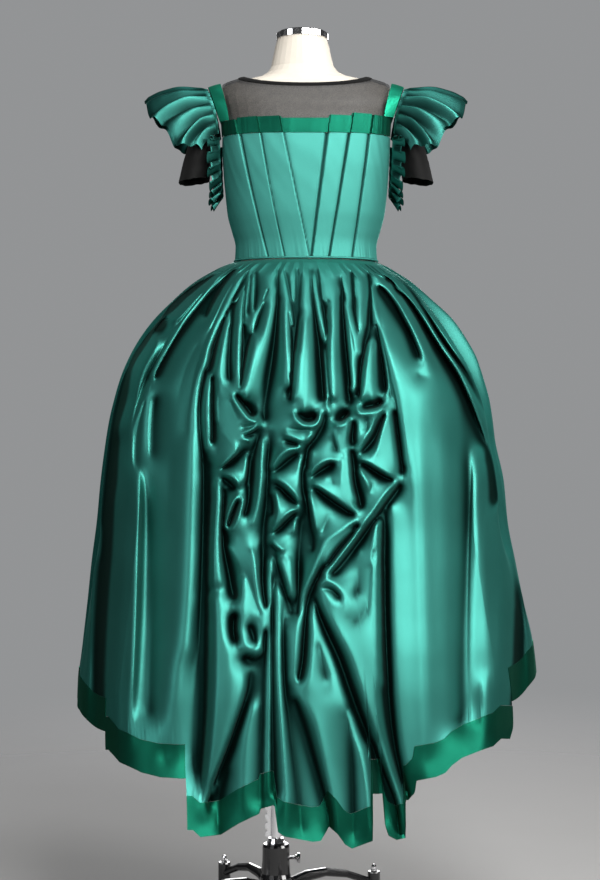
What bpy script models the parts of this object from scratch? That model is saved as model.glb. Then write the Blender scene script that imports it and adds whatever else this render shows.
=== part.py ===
"""Ball gown costume on a limbless dress form with a height-adjustable stand.

Metres, +Z up.  The gathered, picked-up back of the gown faces -Y.  The origin
is on the floor, under the middle of the whole object.

The gown is drawn on an elevation grid seen from EYE_DISTANCE in front of the
-Y side: one grid unit is UNIT metres on the plane through the form's axis,
grid x grows to +X and grid y grows downwards.
"""
import bpy
import math
import numpy as np

# ------------------------------------------------------------------ sizes
UNIT = 0.0021              # one unit of the elevation grid, on the axis plane
GRID_AXIS_X = 306.0        # grid x of the form's axis
GRID_EYE_Y = 440.0         # grid y of the eye height
EYE_DISTANCE = 4.2         # from the eye to the axis plane
EYE_HEIGHT = 1.035
EYE_X = -0.0126
SHIFT_Y = 0.037            # puts the middle of the whole object over the origin

SATIN = 0.0012             # cloth wall
WALL = 0.0014              # wall used for the satin solids
SEAM_GAP = 0.0003

WAIST_Z = 1.407
BAND_HEIGHT = 0.066        # matt hem band
POLE_X = -0.063            # the pole stands off the form's axis
TORSO_FLOOR_Z = 1.050

# skirt: half widths of the smooth dome at each height, no folds
SKIRT_SECTIONS = (
    # z,     left,  right
    (1.4070, 0.151, 0.147),
    (1.4000, 0.176, 0.170),
    (1.3880, 0.200, 0.190),
    (1.3710, 0.229, 0.217),
    (1.3540, 0.252, 0.238),
    (1.3370, 0.271, 0.257),
    (1.2870, 0.321, 0.310),
    (1.2450, 0.352, 0.339),
    (1.2030, 0.375, 0.362),
    (1.1610, 0.392, 0.376),
    (1.1190, 0.404, 0.388),
    (1.0770, 0.414, 0.395),
    (1.0350, 0.421, 0.400),
    (0.9510, 0.432, 0.417),
    (0.8670, 0.440, 0.424),
    (0.7830, 0.451, 0.440),
    (0.6990, 0.460, 0.457),
    (0.6150, 0.470, 0.476),
    (0.5300, 0.480, 0.484),
    (0.4000, 0.484, 0.487),
    (0.2500, 0.486, 0.489),
)
WAIST_BACK, WAIST_FRONT = 0.108, 0.110
BACK_REACH, FRONT_REACH = 0.93, 0.76   # growth in depth for each metre of growth in width

# hem of each skirt panel on the elevation grid, left to right
HEM_SIDE_BACK_LEFT = (
    # x,  y
    (106.6, 750), (114.5, 763), (137, 773.5), (157, 778), (181, 779), (194, 777.5))
HEM_CENTRE_BACK = (
    (190.6, 831), (198.5, 838), (220, 835), (238, 824), (259, 814), (260.5, 809),
    (274.6, 805), (277.0, 832), (284.5, 837), (313, 842), (321, 841), (329, 826),
    (337.6, 834), (345.5, 845), (352.4, 849), (374.0, 841), (375.0, 794),
    (382.5, 793), (384.5, 824), (389, 836), (397, 840), (406, 838), (407.5, 800),
    (415.5, 793), (417.0, 781), (438, 777.5), (448, 773.5), (455, 766))
HEM_SIDE_BACK_RIGHT = (
    (455, 766), (465, 758.7), (480, 753), (497.7, 746.8), (504, 739))
# hem heights round the hidden side, by angle from the centre back
HEM_RIGHT_AND_FRONT = (
    # angle, z
    (57, 0.515), (66, 0.535), (80, 0.553), (90, 0.552), (110, 0.535), (135, 0.515), (180, 0.500))
HEM_LEFT_AND_FRONT = (
    (-180, 0.500), (-135, 0.500), (-110, 0.500), (-90, 0.494), (-75, 0.482), (-55, 0.455))

# seams between the skirt panels: angle from the centre back at waist and hem
SKIRT_PANELS = (
    # name,                     left seam (waist, hem), right seam (waist, hem), columns
    ("skirt_centre_back",       (-28, -28.8), (26, 36.6), 28),
    ("skirt_side_back_right",   (26, 36.6), (58, 57.0), 8),
    ("skirt_side_front_right",  (58, 57.0), (122, 122.0), 10),
    ("skirt_centre_front",      (122, 122.0), (238, 238.0), 14),
    ("skirt_side_front_left",   (-122, -122.0), (-60, -55.5), 10),
    ("skirt_side_back_left",    (-60, -55.5), (-28, -28.8), 8),
)
SHARED_LOW_Z = 0.640        # panels share their row heights down to here
SHARED_ROWS = 9
LOW_ROWS = 2
SEAM_LOW_Z = 0.350          # the seams reach their hem angle here

# large folds of the back, on the elevation grid.  Each runs from its start
# through a bend to its end.  Heights are at start and end; widths are on its
# left (or upper) side and its right (or lower) side.
BACK_FOLDS = (
    # x0,  y0,   xb,  yb,   x1,  y1,   h0,  h1,  left, right   (mm)
    # broad cones of the gathers, from the waist to the pick-ups
    (274, 264, 262, 330, 250, 408, 3, 24, 22, 30),
    (304, 268, 304, 340, 303, 415, 3, 24, 26, 26),
    (334, 268, 338, 340, 342, 412, 3, 22, 22, 26),
    (366, 266, 370, 330, 375, 402, 3, 22, 22, 30),
    # upper edges of the pick-ups: steep above, full below
    (231, 394, 240, 412, 262, 420, 12, 26, 8, 70),
    (291, 409, 300, 430, 322, 407, 14, 18, 8, 80),
    (330, 424, 341, 426, 353, 417, 16, 16, 8, 70),
    (353, 406, 366, 416, 389, 404, 16, 20, 8, 80),
    # long folds from the pick-ups to the hem
    (314, 592, 348, 690, 397, 806, 8, 30, 60, 34),
    (292, 692, 306, 750, 326, 812, 6, 22, 40, 50),
    (214, 560, 222, 700, 207, 804, 10, 26, 36, 60),
    (262, 560, 268, 700, 262, 800, 8, 14, 26, 24),
    (352, 640, 358, 740, 364, 842, 6, 26, 60, 26),
    (284, 640, 288, 740, 292, 836, 6, 22, 16, 44),
    (391, 700, 397, 780, 396, 838, 4, 28, 22, 24),
    # the picked-up bulge and the loop on the left
    (330, 572, 352, 590, 340, 628, 10, 12, 40, 34),
    (241, 612, 240, 640, 259, 654, 14, 12, 14, 40),
)
# points where the cloth is caught in
BACK_TACKS = (
    # x,   y,   depth, radius   (mm)
    (253, 442, 22, 60), (216, 472, 18, 60), (240, 490, 20, 56), (224, 535, 18, 60),
    (304, 447, 22, 60), (269, 474, 22, 60), (302, 509, 22, 60), (267, 535, 20, 60),
    (341, 460, 22, 60), (307, 480, 22, 50), (362, 516, 22, 66),
    (355, 457, 20, 50), (399, 479, 20, 60), (313.7, 591, 26, 70), (291, 691, 22, 60),
    (264, 621, 20, 44),
)
# long soft folds round the whole skirt, by angle from the centre back
ROUND_FOLDS = (
    # angle at waist, at hem, z start, z end, height (mm), width (deg)
    (-76, -66, 1.37, 0.40, 7, 9), (-50, -47, 1.34, 0.35, 9, 8), (-38, -37, 1.30, 0.35, 7, 6),
    (-95, -84, 1.36, 0.45, 6, 10), (-112, -104, 1.36, 0.50, 8, 11), (-134, -128, 1.36, 0.50, 9, 12),
    (-156, -152, 1.36, 0.50, 8, 11), (-176, -174, 1.36, 0.50, 10, 12),
    (43, 43, 1.33, 0.35, 8, 7), (52, 50, 1.30, 0.40, 7, 5), (70, 68, 1.36, 0.45, 6, 9),
    (88, 84, 1.36, 0.50, 6, 10), (108, 104, 1.36, 0.50, 9, 12), (131, 128, 1.36, 0.50, 8, 11),
    (158, 153, 1.36, 0.50, 9, 12),
)
# layered edges of the side panels on the elevation grid (free edge stands out)
EDGE_FOLDS = (
    (114, 420, 113, 560, 107, 740, 2, 14, 6, 80),
    (196, 560, 194, 680, 192, 770, 4, 16, 90, 6),
    (512, 560, 510, 640, 504, 735, 2, 14, 90, 6),
    (385, 560, 380, 660, 396, 780, 3, 3, 8, 60),
)

# bodice: sections between waist and top
BODICE_SECTIONS = (
    # z,     side,  back,  front
    (1.4110, 0.1485, 0.106, 0.110),
    (1.4380, 0.1475, 0.107, 0.113),
    (1.4720, 0.1555, 0.111, 0.122),
    (1.5050, 0.1640, 0.116, 0.134),
    (1.5600, 0.1700, 0.121, 0.150),
    (1.6150, 0.1740, 0.124, 0.152),
    (1.6620, 0.1770, 0.122, 0.138),
    (1.6960, 0.1790, 0.117, 0.124),
)
ARMHOLE_Z = 1.585          # bottom of the armhole
BODICE_TOP_Z = 1.6620      # the band starts here
TOP_BAND_HEIGHT = 0.0300
# pleats of the bodice back: grid x at the band, grid x at the waist, and where
# the band steps up or down beside it
PLEATS = (
    # top x, waist x, free edge toward
    (239.0, 267.0, "centre"),
    (260.0, 284.0, "centre"),
    (283.0, 309.0, "centre"),
    (328.0, 312.5, "centre"),
    (350.0, 330.0, "centre"),
    (370.0, 353.0, "centre"),
)
PLEAT_STEP = 0.0040
# height by which the band stands above or below its line between the pleats
BAND_STEPS = (0.000, 0.004, 0.004, 0.000, 0.006, 0.011, 0.009)

# dress form
TORSO_SECTIONS = (
    # z,     side,  back,  front, centre y
    (1.0503, 0.120, 0.090, 0.090, 0.0),
    (1.0570, 0.146, 0.104, 0.102, 0.0),
    (1.1300, 0.155, 0.110, 0.106, 0.0),
    (1.2300, 0.156, 0.112, 0.104, 0.0),
    (1.3300, 0.146, 0.104, 0.100, 0.0),
    (1.4150, 0.136, 0.095, 0.097, 0.0),
    (1.4900, 0.145, 0.101, 0.114, 0.0),
    (1.5600, 0.157, 0.109, 0.136, 0.0),
    (1.6300, 0.162, 0.112, 0.135, 0.0),
    (1.6900, 0.168, 0.107, 0.114, 0.0),
    (1.7300, 0.178, 0.094, 0.088, 0.0),
    (1.7500, 0.185, 0.082, 0.070, 0.0),
    (1.7640, 0.183, 0.073, 0.059, 0.0),
    (1.7740, 0.172, 0.068, 0.053, 0.0),
    (1.7820, 0.150, 0.065, 0.050, 0.0),
    (1.7890, 0.122, 0.062, 0.049, 0.001),
    (1.7960, 0.093, 0.059, 0.049, 0.003),
    (1.8060, 0.0750, 0.056, 0.050, 0.005),
    (1.8180, 0.0665, 0.052, 0.051, 0.008),
    (1.8420, 0.0610, 0.049, 0.053, 0.012),
    (1.8640, 0.0567, 0.046, 0.052, 0.016),
    (1.8780, 0.0530, 0.044, 0.050, 0.019),
)
BOX_POWER = ((1.00, 0.90), (1.45, 0.86), (1.60, 0.68), (1.74, 0.64), (1.790, 0.84), (1.83, 1.0))
NECK_X = -0.008            # the neck column stands a little to the left
NECK_TOP_Z = 1.878

PI = math.pi


# ------------------------------------------------------------------ helpers
def grid_across(x):
    return (np.asarray(x, float) - GRID_AXIS_X) * UNIT


def grid_up(y):
    return EYE_HEIGHT - (np.asarray(y, float) - GRID_EYE_Y) * UNIT


def on_elevation(p):
    """Where a point shows on the elevation, in metres on the axis plane."""
    f = EYE_DISTANCE / (EYE_DISTANCE + p[..., 1])
    return EYE_X + (p[..., 0] - EYE_X) * f, EYE_HEIGHT + (p[..., 2] - EYE_HEIGHT) * f


def interp_columns(table, value, column, key=0):
    rows = sorted(table, key=lambda r: r[key])
    return np.interp(value, [r[key] for r in rows], [r[column] for r in rows])


def smooth_interp(table, value, column):
    """Monotone cubic through the table's rows (Fritsch and Carlson)."""
    rows = sorted(table, key=lambda r: r[0])
    x = np.array([r[0] for r in rows], float)
    y = np.array([r[column] for r in rows], float)
    d = np.diff(y) / np.diff(x)
    m = np.empty_like(y)
    m[0], m[-1] = d[0], d[-1]
    same = d[:-1] * d[1:] > 0
    m[1:-1] = np.where(same, 2 * d[:-1] * d[1:] / np.where(same, d[:-1] + d[1:], 1.0), 0.0)
    v = np.clip(np.asarray(value, float), x[0], x[-1])
    i = np.clip(np.searchsorted(x, v) - 1, 0, len(x) - 2)
    h = x[i + 1] - x[i]
    s = (v - x[i]) / h
    return (y[i] * (1 + 2 * s) * (1 - s) ** 2 + h * m[i] * s * (1 - s) ** 2
            + y[i + 1] * s * s * (3 - 2 * s) + h * m[i + 1] * s * s * (s - 1))


def smooth_max(a, b, k):
    return np.maximum(a, b) + np.maximum(k - np.abs(a - b), 0.0) ** 2 / (4 * k)


def smooth_step(x, lo, hi):
    s = np.clip((x - lo) / (hi - lo), 0.0, 1.0)
    return s * s * (3 - 2 * s)


def surface_normals(fn, a, b, da=0.4, db=0.004, sign=1.0):
    """Outward normals of a surface fn(a, b) by central differences."""
    ta = fn(a + da, b) - fn(a - da, b)
    tb = fn(a, b + db) - fn(a, b - db)
    n = np.cross(ta, tb) * sign
    return n / np.maximum(np.linalg.norm(n, axis=-1, keepdims=True), 1e-12)


# ------------------------------------------------------------------ folds
def fold_relief(across, up, rows, rounding=0.003, blend=0.004):
    """Height of a set of tent-shaped folds; where two meet, the higher wins."""
    total = np.zeros_like(across)
    for x0, y0, xb, yb, x1, y1, h0, h1, w_left, w_right in rows:
        ax, bx, cx = grid_across(x0), grid_across(xb), grid_across(x1)
        ay, by, cy = grid_up(y0), grid_up(yb), grid_up(y1)
        best = np.full(across.shape, 1e9)
        along = np.zeros_like(across)
        side = np.zeros_like(across)
        steps = 8
        for k in range(steps):
            t0, t1 = k / steps, (k + 1) / steps
            px = (1 - t0) ** 2 * ax + 2 * t0 * (1 - t0) * bx + t0 * t0 * cx
            py = (1 - t0) ** 2 * ay + 2 * t0 * (1 - t0) * by + t0 * t0 * cy
            qx = (1 - t1) ** 2 * ax + 2 * t1 * (1 - t1) * bx + t1 * t1 * cx
            qy = (1 - t1) ** 2 * ay + 2 * t1 * (1 - t1) * by + t1 * t1 * cy
            dx, dy = qx - px, qy - py
            length = math.hypot(dx, dy)
            s = ((across - px) * dx + (up - py) * dy) / (length * length)
            lo = -9.0 if k == 0 else 0.0
            hi = 9.0 if k == steps - 1 else 1.0
            s_in = np.clip(s, lo, hi)
            ox, oy = across - (px + s_in * dx), up - (py + s_in * dy)
            dist = np.hypot(ox, oy)
            nx, ny = dy / length, -dx / length
            if nx * 1.0 + ny * -0.3 < 0:
                nx, ny = -nx, -ny
            closer = dist < best
            best = np.where(closer, dist, best)
            along = np.where(closer, t0 + s_in * (t1 - t0), along)
            side = np.where(closer, ox * nx + oy * ny, side)
        width = np.where(side > 0, w_right, w_left) * 0.001
        d = np.sqrt(best ** 2 + rounding ** 2) - rounding
        shape = np.clip(1.0 - d / width, 0.0, 1.0) ** 1.3
        height = (h0 + (h1 - h0) * np.clip(along, 0, 1)) * 0.001
        ends = smooth_step(along, -0.16, 0.04) * (1 - smooth_step(along, 1.02, 1.25))
        total = smooth_max(total, shape * height * ends, blend)
    return total


def tack_relief(across, up, rows):
    total = np.zeros_like(across)
    for x, y, depth, radius in rows:
        d = np.hypot(across - grid_across(x), up - grid_up(y))
        total = np.maximum(total, depth * 0.001 * np.clip(1 - d / (radius * 0.001), 0, 1) ** 1.5)
    return total


# ------------------------------------------------------------------ skirt
def skirt_base(angle, z):
    """Smooth dome of the skirt; angle in degrees from the centre back."""
    left = smooth_interp(SKIRT_SECTIONS, z, 1)
    right = smooth_interp(SKIRT_SECTIONS, z, 2)
    s, c = np.sin(np.radians(angle)), np.cos(np.radians(angle))
    grown = 0.5 * (left + right) - 0.149
    back = WAIST_BACK + BACK_REACH * grown
    front = WAIST_FRONT + FRONT_REACH * grown
    half = 0.5 * (left + right) + 0.5 * (right - left) * s
    deep = 0.5 * (back + front) + 0.5 * (back - front) * c
    return np.stack([half * s, -deep * c, np.asarray(z, float) + 0 * s], axis=-1)


def skirt_relief(angle, z, point):
    across, up = on_elevation(point)
    near = smooth_step(np.cos(np.radians(angle)), 0.05, 0.35)
    relief = fold_relief(across, up, BACK_FOLDS) - tack_relief(across, up, BACK_TACKS)
    relief = relief * near + fold_relief(across, up, EDGE_FOLDS) * smooth_step(-point[..., 1], 0.02, 0.12)
    turn = (np.asarray(angle, float) + 180.0) % 360.0 - 180.0
    for a_top, a_hem, z0, z1, height, width in ROUND_FOLDS:
        f = np.clip((z0 - z) / (z0 - z1), 0, 1)
        middle = a_top + (a_hem - a_top) * f
        off = np.abs((turn - middle + 180.0) % 360.0 - 180.0)
        rise = smooth_step(z0 - z, -0.02, 0.20)
        relief = relief + height * 0.001 * rise * np.clip(1 - (off / width) ** 2, 0, 1) ** 1.5
    # small gathers all round, just under the waist
    gathers = 0.0022 * np.sin(np.radians(turn) * 46.0) * np.exp(-((WAIST_Z - z - 0.035) / 0.04) ** 2)
    return relief + gathers


def skirt_point(angle, z):
    base = skirt_base(angle, z)
    n = surface_normals(skirt_base, angle, z, 0.5, -0.002)
    fade = smooth_step(WAIST_Z - z, 0.0, 0.035)[..., None]
    return base + n * (skirt_relief(angle, z, base) + 0.0006)[..., None] * fade


def hem_height(name, angle):
    """Height of the hem at an angle, from the panel's own hem line."""
    wrapped = (np.asarray(angle, float) + 180.0) % 360.0 - 180.0
    on_grid = {"skirt_side_back_left": HEM_SIDE_BACK_LEFT,
               "skirt_centre_back": HEM_CENTRE_BACK,
               "skirt_side_back_right": HEM_SIDE_BACK_RIGHT}.get(name)
    if on_grid is None:
        right = interp_columns(HEM_RIGHT_AND_FRONT, wrapped, 1)
        left = interp_columns(HEM_LEFT_AND_FRONT, wrapped, 1)
        return np.where(wrapped > 0, right, left)
    xs = [float(grid_across(r[0])) for r in on_grid]
    ys = [float(grid_up(r[1])) for r in on_grid]
    z = np.full(wrapped.shape, 0.35)
    for _ in range(6):
        p = skirt_base(wrapped, z)
        across, _up = on_elevation(p)
        up = np.interp(across, xs, ys)
        z = EYE_HEIGHT + (up - EYE_HEIGHT) * (EYE_DISTANCE + p[..., 1]) / EYE_DISTANCE
    return z


def profile_length():
    z = np.linspace(WAIST_Z, 0.22, 400)
    r = 0.5 * (smooth_interp(SKIRT_SECTIONS, z, 1) + smooth_interp(SKIRT_SECTIONS, z, 2))
    s = np.concatenate([[0], np.cumsum(np.hypot(np.diff(z), np.diff(r)))])
    return z, s


PROFILE_Z, PROFILE_S = profile_length()


def height_down(share, z_end, z_start=WAIST_Z):
    """Height at a share of the way down the dome's profile."""
    s0 = np.interp(-np.asarray(z_start, float), -PROFILE_Z, PROFILE_S)
    s1 = np.interp(-np.asarray(z_end, float), -PROFILE_Z, PROFILE_S)
    return np.interp(s0 + (s1 - s0) * share, PROFILE_S, PROFILE_Z)


def panel_columns(name, left, right, count):
    """Shares across a panel, with a pair of columns at each sudden step of its hem."""
    shares = list(np.linspace(0, 1, count + 1))
    if name == "skirt_centre_back":
        for x in (190.6, 198.5, 260.0, 275.8, 284.5, 321, 329, 337.6, 352.4, 374.5, 383.5, 389, 406.8, 416.2, 448):
            target = float(grid_across(x))
            a = np.linspace(left[1], right[1], 400)
            across, _ = on_elevation(skirt_base(a, np.full(400, 0.33)))
            share = (float(np.interp(target, across, a)) - left[1]) / (right[1] - left[1])
            pair = (share - 0.006, share + 0.006) if x in (260.0, 275.8, 374.5, 383.5, 406.8, 416.2) else (share,)
            shares = [s for s in shares if s in (0.0, 1.0) or min(abs(s - q) for q in pair) > 0.012]
            shares.extend(q for q in pair if 0.004 < q < 0.996)
    return np.array(sorted(shares))


# ------------------------------------------------------------------ solids
MATERIALS = {}


def material(name, colour, roughness, metallic=0.0):
    if name not in MATERIALS:
        m = bpy.data.materials.new(name)
        m.use_nodes = True
        bsdf = m.node_tree.nodes["Principled BSDF"]
        bsdf.inputs["Base Color"].default_value = (*colour, 1.0)
        bsdf.inputs["Roughness"].default_value = roughness
        bsdf.inputs["Metallic"].default_value = metallic
        MATERIALS[name] = m
    return MATERIALS[name]


FINISH = {
    "satin": ((0.010, 0.190, 0.130), 0.30, 0.2),
    "matt_band": ((0.006, 0.150, 0.085), 0.60, 0.0),
    "mesh": ((0.012, 0.012, 0.013), 0.70, 0.0),
    "black_cloth": ((0.008, 0.008, 0.009), 0.80, 0.0),
    "cover": ((0.80, 0.77, 0.70), 0.85, 0.0),
    "chrome": ((0.80, 0.80, 0.82), 0.12, 1.0),
    "black_enamel": ((0.010, 0.010, 0.011), 0.22, 0.0),
    "rubber": ((0.015, 0.015, 0.015), 0.75, 0.0),
}


def add_object(name, verts, faces, finish, origin=(0, 0, 0), smooth=True, angle=35):
    """Make a mesh object with its origin at the given place (model frame)."""
    o = np.array(origin, float)
    mesh = bpy.data.meshes.new(name)
    mesh.from_pydata([tuple(np.array(v, float) - o) for v in verts], [], faces)
    mesh.validate()
    obj = bpy.data.objects.new(name, mesh)
    obj.location = (o[0], o[1] + SHIFT_Y, o[2])
    bpy.context.scene.collection.objects.link(obj)
    mesh.materials.append(material(name + "_finish", *FINISH[finish]))
    if smooth:
        mesh.shade_smooth()
        mesh.set_sharp_from_angle(angle=math.radians(angle))
    return obj


def wall(name, outer, inner, finish, ring=False, angle=50):
    """Closed wall between two grids of points, outer[i, j] and inner[i, j].
    i runs across and j runs along; a ring closes in i."""
    nu, nv = outer.shape[:2]
    verts = list(outer.reshape(-1, 3)) + list(inner.reshape(-1, 3))
    base = nu * nv

    def o(i, j):
        return (i % nu) * nv + j

    def n(i, j):
        return base + (i % nu) * nv + j

    faces = []
    last = nu if ring else nu - 1
    for i in range(last):
        for j in range(nv - 1):
            a, b, c, d = o(i, j), o(i + 1, j), o(i + 1, j + 1), o(i, j + 1)
            faces += [(a, b, c), (a, c, d)]
            a, b, c, d = n(i, j), n(i + 1, j), n(i + 1, j + 1), n(i, j + 1)
            faces += [(a, c, b), (a, d, c)]
        for j in (0, nv - 1):
            a, b, c, d = o(i, j), o(i + 1, j), n(i + 1, j), n(i, j)
            faces += [(a, d, c), (a, c, b)] if j == 0 else [(a, b, c), (a, c, d)]
    if not ring:
        for i in (0, nu - 1):
            for j in range(nv - 1):
                a, b, c, d = o(i, j), o(i, j + 1), n(i, j + 1), n(i, j)
                faces += [(a, b, c), (a, c, d)] if i == 0 else [(a, d, c), (a, c, b)]
    if signed_volume(verts, faces) < 0:
        faces = [(f[0], f[2], f[1]) for f in faces]
    return add_object(name, verts, faces, finish, angle=angle)


def signed_volume(verts, faces):
    v = np.array(verts, float)
    f = np.array(faces)
    a, b, c = v[f[:, 0]], v[f[:, 1]], v[f[:, 2]]
    return float(np.einsum("ij,ij->i", a, np.cross(b, c)).sum() / 6.0)


def stack(name, rings, finish, origin=(0, 0, 0), cap=True, angle=35):
    """Closed solid through rings of equal count, capped at both ends."""
    count = len(rings[0])
    verts = [p for ring in rings for p in ring]
    faces = []
    for j in range(len(rings) - 1):
        for i in range(count):
            a, b = j * count + i, j * count + (i + 1) % count
            faces += [(a, b, b + count), (a, b + count, a + count)]
    if cap:
        for j, flip in ((0, True), (len(rings) - 1, False)):
            middle = len(verts)
            verts.append(tuple(np.mean(np.array(rings[j]), axis=0)))
            for i in range(count):
                a, b = j * count + i, j * count + (i + 1) % count
                faces.append((b, a, middle) if flip else (a, b, middle))
    else:
        top = (len(rings) - 1) * count
        for i in range(count):
            a, b = top + i, top + (i + 1) % count
            c, d = (i + 1) % count, i
            faces += [(a, b, c), (a, c, d)]
    if signed_volume(verts, faces) < 0:
        faces = [(f[0], f[2], f[1]) for f in faces]
    return add_object(name, verts, faces, finish, origin=origin, angle=angle)


def circle(x, y, z, r, count=24):
    return [(x + r * math.cos(2 * PI * k / count), y + r * math.sin(2 * PI * k / count), z) for k in range(count)]


def turned(name, x, y, profile, finish, count=24, origin=None, closed=False):
    """Solid of revolution about the vertical through (x, y); profile of (r, z)."""
    rings = [circle(x, y, z, r, count) for r, z in profile]
    return stack(name, rings, finish, origin=origin or (x, y, profile[0][1]), cap=not closed)


def union(keep, other):
    """Join a second solid into the first, as one body."""
    m = keep.modifiers.new("join", "BOOLEAN")
    m.operation = "UNION"
    m.object = other
    m.solver = "EXACT"
    other.hide_render = True
    other.display_type = "WIRE"


# ------------------------------------------------------------------ build
for old in list(bpy.data.objects):
    bpy.data.objects.remove(old, do_unlink=True)


def seam_share(z):
    """Share of the way from the waist angle to the hem angle at a height."""
    return np.clip((WAIST_Z - np.asarray(z, float)) / (WAIST_Z - SEAM_LOW_Z), 0, 1.2)


def panel_heights(band_top):
    """Heights of the rows: levels shared by all panels, then rows down to the band."""
    share = np.linspace(0, 1, SHARED_ROWS + 1) ** 1.15
    shared = height_down(share, SHARED_LOW_Z, WAIST_Z - 0.0010)
    low = np.linspace(0, 1, LOW_ROWS + 1)[1:]
    lower = shared[-1] + (band_top[:, None] - shared[-1]) * low[None, :]
    return np.concatenate([np.repeat(shared[None, :], len(band_top), axis=0), lower], axis=1)


def build_skirt():
    for name, left, right, count in SKIRT_PANELS:
        shares = panel_columns(name, left, right, count)
        a_top = left[0] + (right[0] - left[0]) * shares
        a_hem = left[1] + (right[1] - left[1]) * shares
        hem = hem_height(name, a_hem)
        for _ in range(3):
            hem = hem_height(name, a_top + (a_hem - a_top) * seam_share(hem))
        gap = np.zeros_like(shares)
        gap[0], gap[-1] = 1.0, -1.0
        for part in ("", "_hem_band"):
            if part == "":
                z = panel_heights(hem + BAND_HEIGHT + SEAM_GAP)
            else:
                z = (hem + BAND_HEIGHT)[:, None] - BAND_HEIGHT * np.linspace(0, 1, 2)[None, :]
            angle = a_top[:, None] + (a_hem - a_top)[:, None] * seam_share(z)
            radius = np.interp(z, [0.2, 1.0, 1.35, 1.407], [0.40, 0.38, 0.20, 0.105])
            angle = angle + gap[:, None] * np.degrees(0.00024 / radius)
            outer = skirt_point(angle, z)
            normal = surface_normals(skirt_point, angle, z, 0.9, -0.012)
            flat = surface_normals(skirt_base, angle, z, 0.5, -0.004)
            normal = normal * 0.5 + flat * 0.5
            normal /= np.linalg.norm(normal, axis=-1, keepdims=True)
            # at a seam both panels use the dome's own normal
            normal[0], normal[-1] = flat[0], flat[-1]
            wall(name + part, outer, outer - normal * WALL, "satin" if part == "" else "matt_band")


def bodice_section(z):
    return (smooth_interp(BODICE_SECTIONS, z, 1), smooth_interp(BODICE_SECTIONS, z, 2),
            smooth_interp(BODICE_SECTIONS, z, 3))


def section_power(z):
    """How square a section is: 1 is an ellipse, less is squarer."""
    return np.interp(z, [r[0] for r in BOX_POWER], [r[1] for r in BOX_POWER])


def bodice_base(angle, z):
    side, back, front = bodice_section(z)
    power = section_power(z)
    s, c = np.sin(np.radians(angle)), np.cos(np.radians(angle))
    s = np.sign(s) * np.abs(s) ** power
    c2 = np.sign(c) * np.abs(c) ** power
    deep = np.where(c >= 0, back, front)
    return np.stack([side * s, -deep * c2, np.asarray(z, float) + 0 * s], axis=-1)


def pleat_share(across, up):
    """Sawtooth of the pleats: 1 at each free edge, 0 just inside it."""
    f = np.clip((up - grid_up(256)) / (grid_up(133) - grid_up(256)), 0, 1.3)
    edges = [float(grid_across(p[1])) + (float(grid_across(p[0])) - float(grid_across(p[1]))) * f for p in PLEATS]
    rise = np.zeros_like(across)
    left_outer = float(grid_across(205))
    for k in range(3):
        outer = edges[k - 1] if k > 0 else np.full_like(across, left_outer)
        inside = (across <= edges[k]) & (across > outer)
        rise = np.where(inside, (across - outer) / np.maximum(edges[k] - outer, 1e-6), rise)
    right_outer = float(grid_across(408))
    for k in range(3, 6):
        outer = edges[k + 1] if k < 5 else np.full_like(across, right_outer)
        inside = (across >= edges[k]) & (across < outer)
        rise = np.where(inside, (outer - across) / np.maximum(outer - edges[k], 1e-6), rise)
    return rise


def bodice_point(angle, z):
    base = bodice_base(angle, z)
    n = surface_normals(bodice_base, angle, z, 0.5, 0.002)
    across, up = on_elevation(base)
    near = smooth_step(np.cos(np.radians(angle)), 0.05, 0.3)
    rise = PLEAT_STEP * pleat_share(across, up) * near
    front_pleats = 0.5 * PLEAT_STEP * (1 - near) * (0.5 + 0.5 * np.cos(np.radians(angle) * 14)) * \
        smooth_step(-np.cos(np.radians(angle)), 0.2, 0.5)
    return base + n * (rise + front_pleats)[..., None]


def pleat_angles(z):
    """Angles of the pleats' edges at a height, in pairs a hair apart."""
    a = np.linspace(-86, 86, 345)
    p = bodice_base(a, np.full(a.shape, z))
    across, up = on_elevation(p)
    f = np.clip((up - grid_up(256)) / (grid_up(133) - grid_up(256)), 0, 1.3)
    found = []
    for top_x, waist_x, _free in PLEATS:
        edge = grid_across(waist_x) + (grid_across(top_x) - grid_across(waist_x)) * f
        found.append(float(np.interp(0.0, across - edge, a)))
    return found


def bodice_columns(z, half):
    """Column angles of the back at one height: pleat edges and points between them."""
    marks = [-half] + pleat_angles(z) + [half]
    side = [m for m in (73.0, 78.5, 84.0) if m < half - 2]
    cols = []
    for k in range(len(marks) - 1):
        lo, hi = marks[k], marks[k + 1]
        a0 = lo + (0.35 if k > 0 else 0.0)
        a1 = hi - (0.35 if k < len(marks) - 2 else 0.0)
        if k == 0:
            inner = [a1 + (-m - a1) * 1.0 for m in reversed(side)]
            edge = inner[-1] if inner else a0
            cols += [a0] + inner + [edge + (a1 - edge) * 0.5, a1]
        elif k == len(marks) - 2:
            edge = side[0] if side else a1
            cols += [a0, a0 + (edge - a0) * 0.5] + list(side) + [a1]
        else:
            cols += [a0, 0.5 * (a0 + a1), a1]
    return cols


def armhole_top(angle):
    """Top edge of the bodice: level across the back, dipping under each arm."""
    off = np.abs((np.asarray(angle, float) + 180) % 360 - 180)
    dip = 1.0 - smooth_step(np.abs(off - 90), 3.0, 17.0)
    return BODICE_TOP_Z - (BODICE_TOP_Z - ARMHOLE_Z) * dip


def front_columns():
    """Columns of the front, closer together at the armholes."""
    side = [90.15, 96.0, 101.5, 107.0]
    return np.array(side + list(np.linspace(118, 242, 15)) + [360.0 - a for a in reversed(side)])


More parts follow.
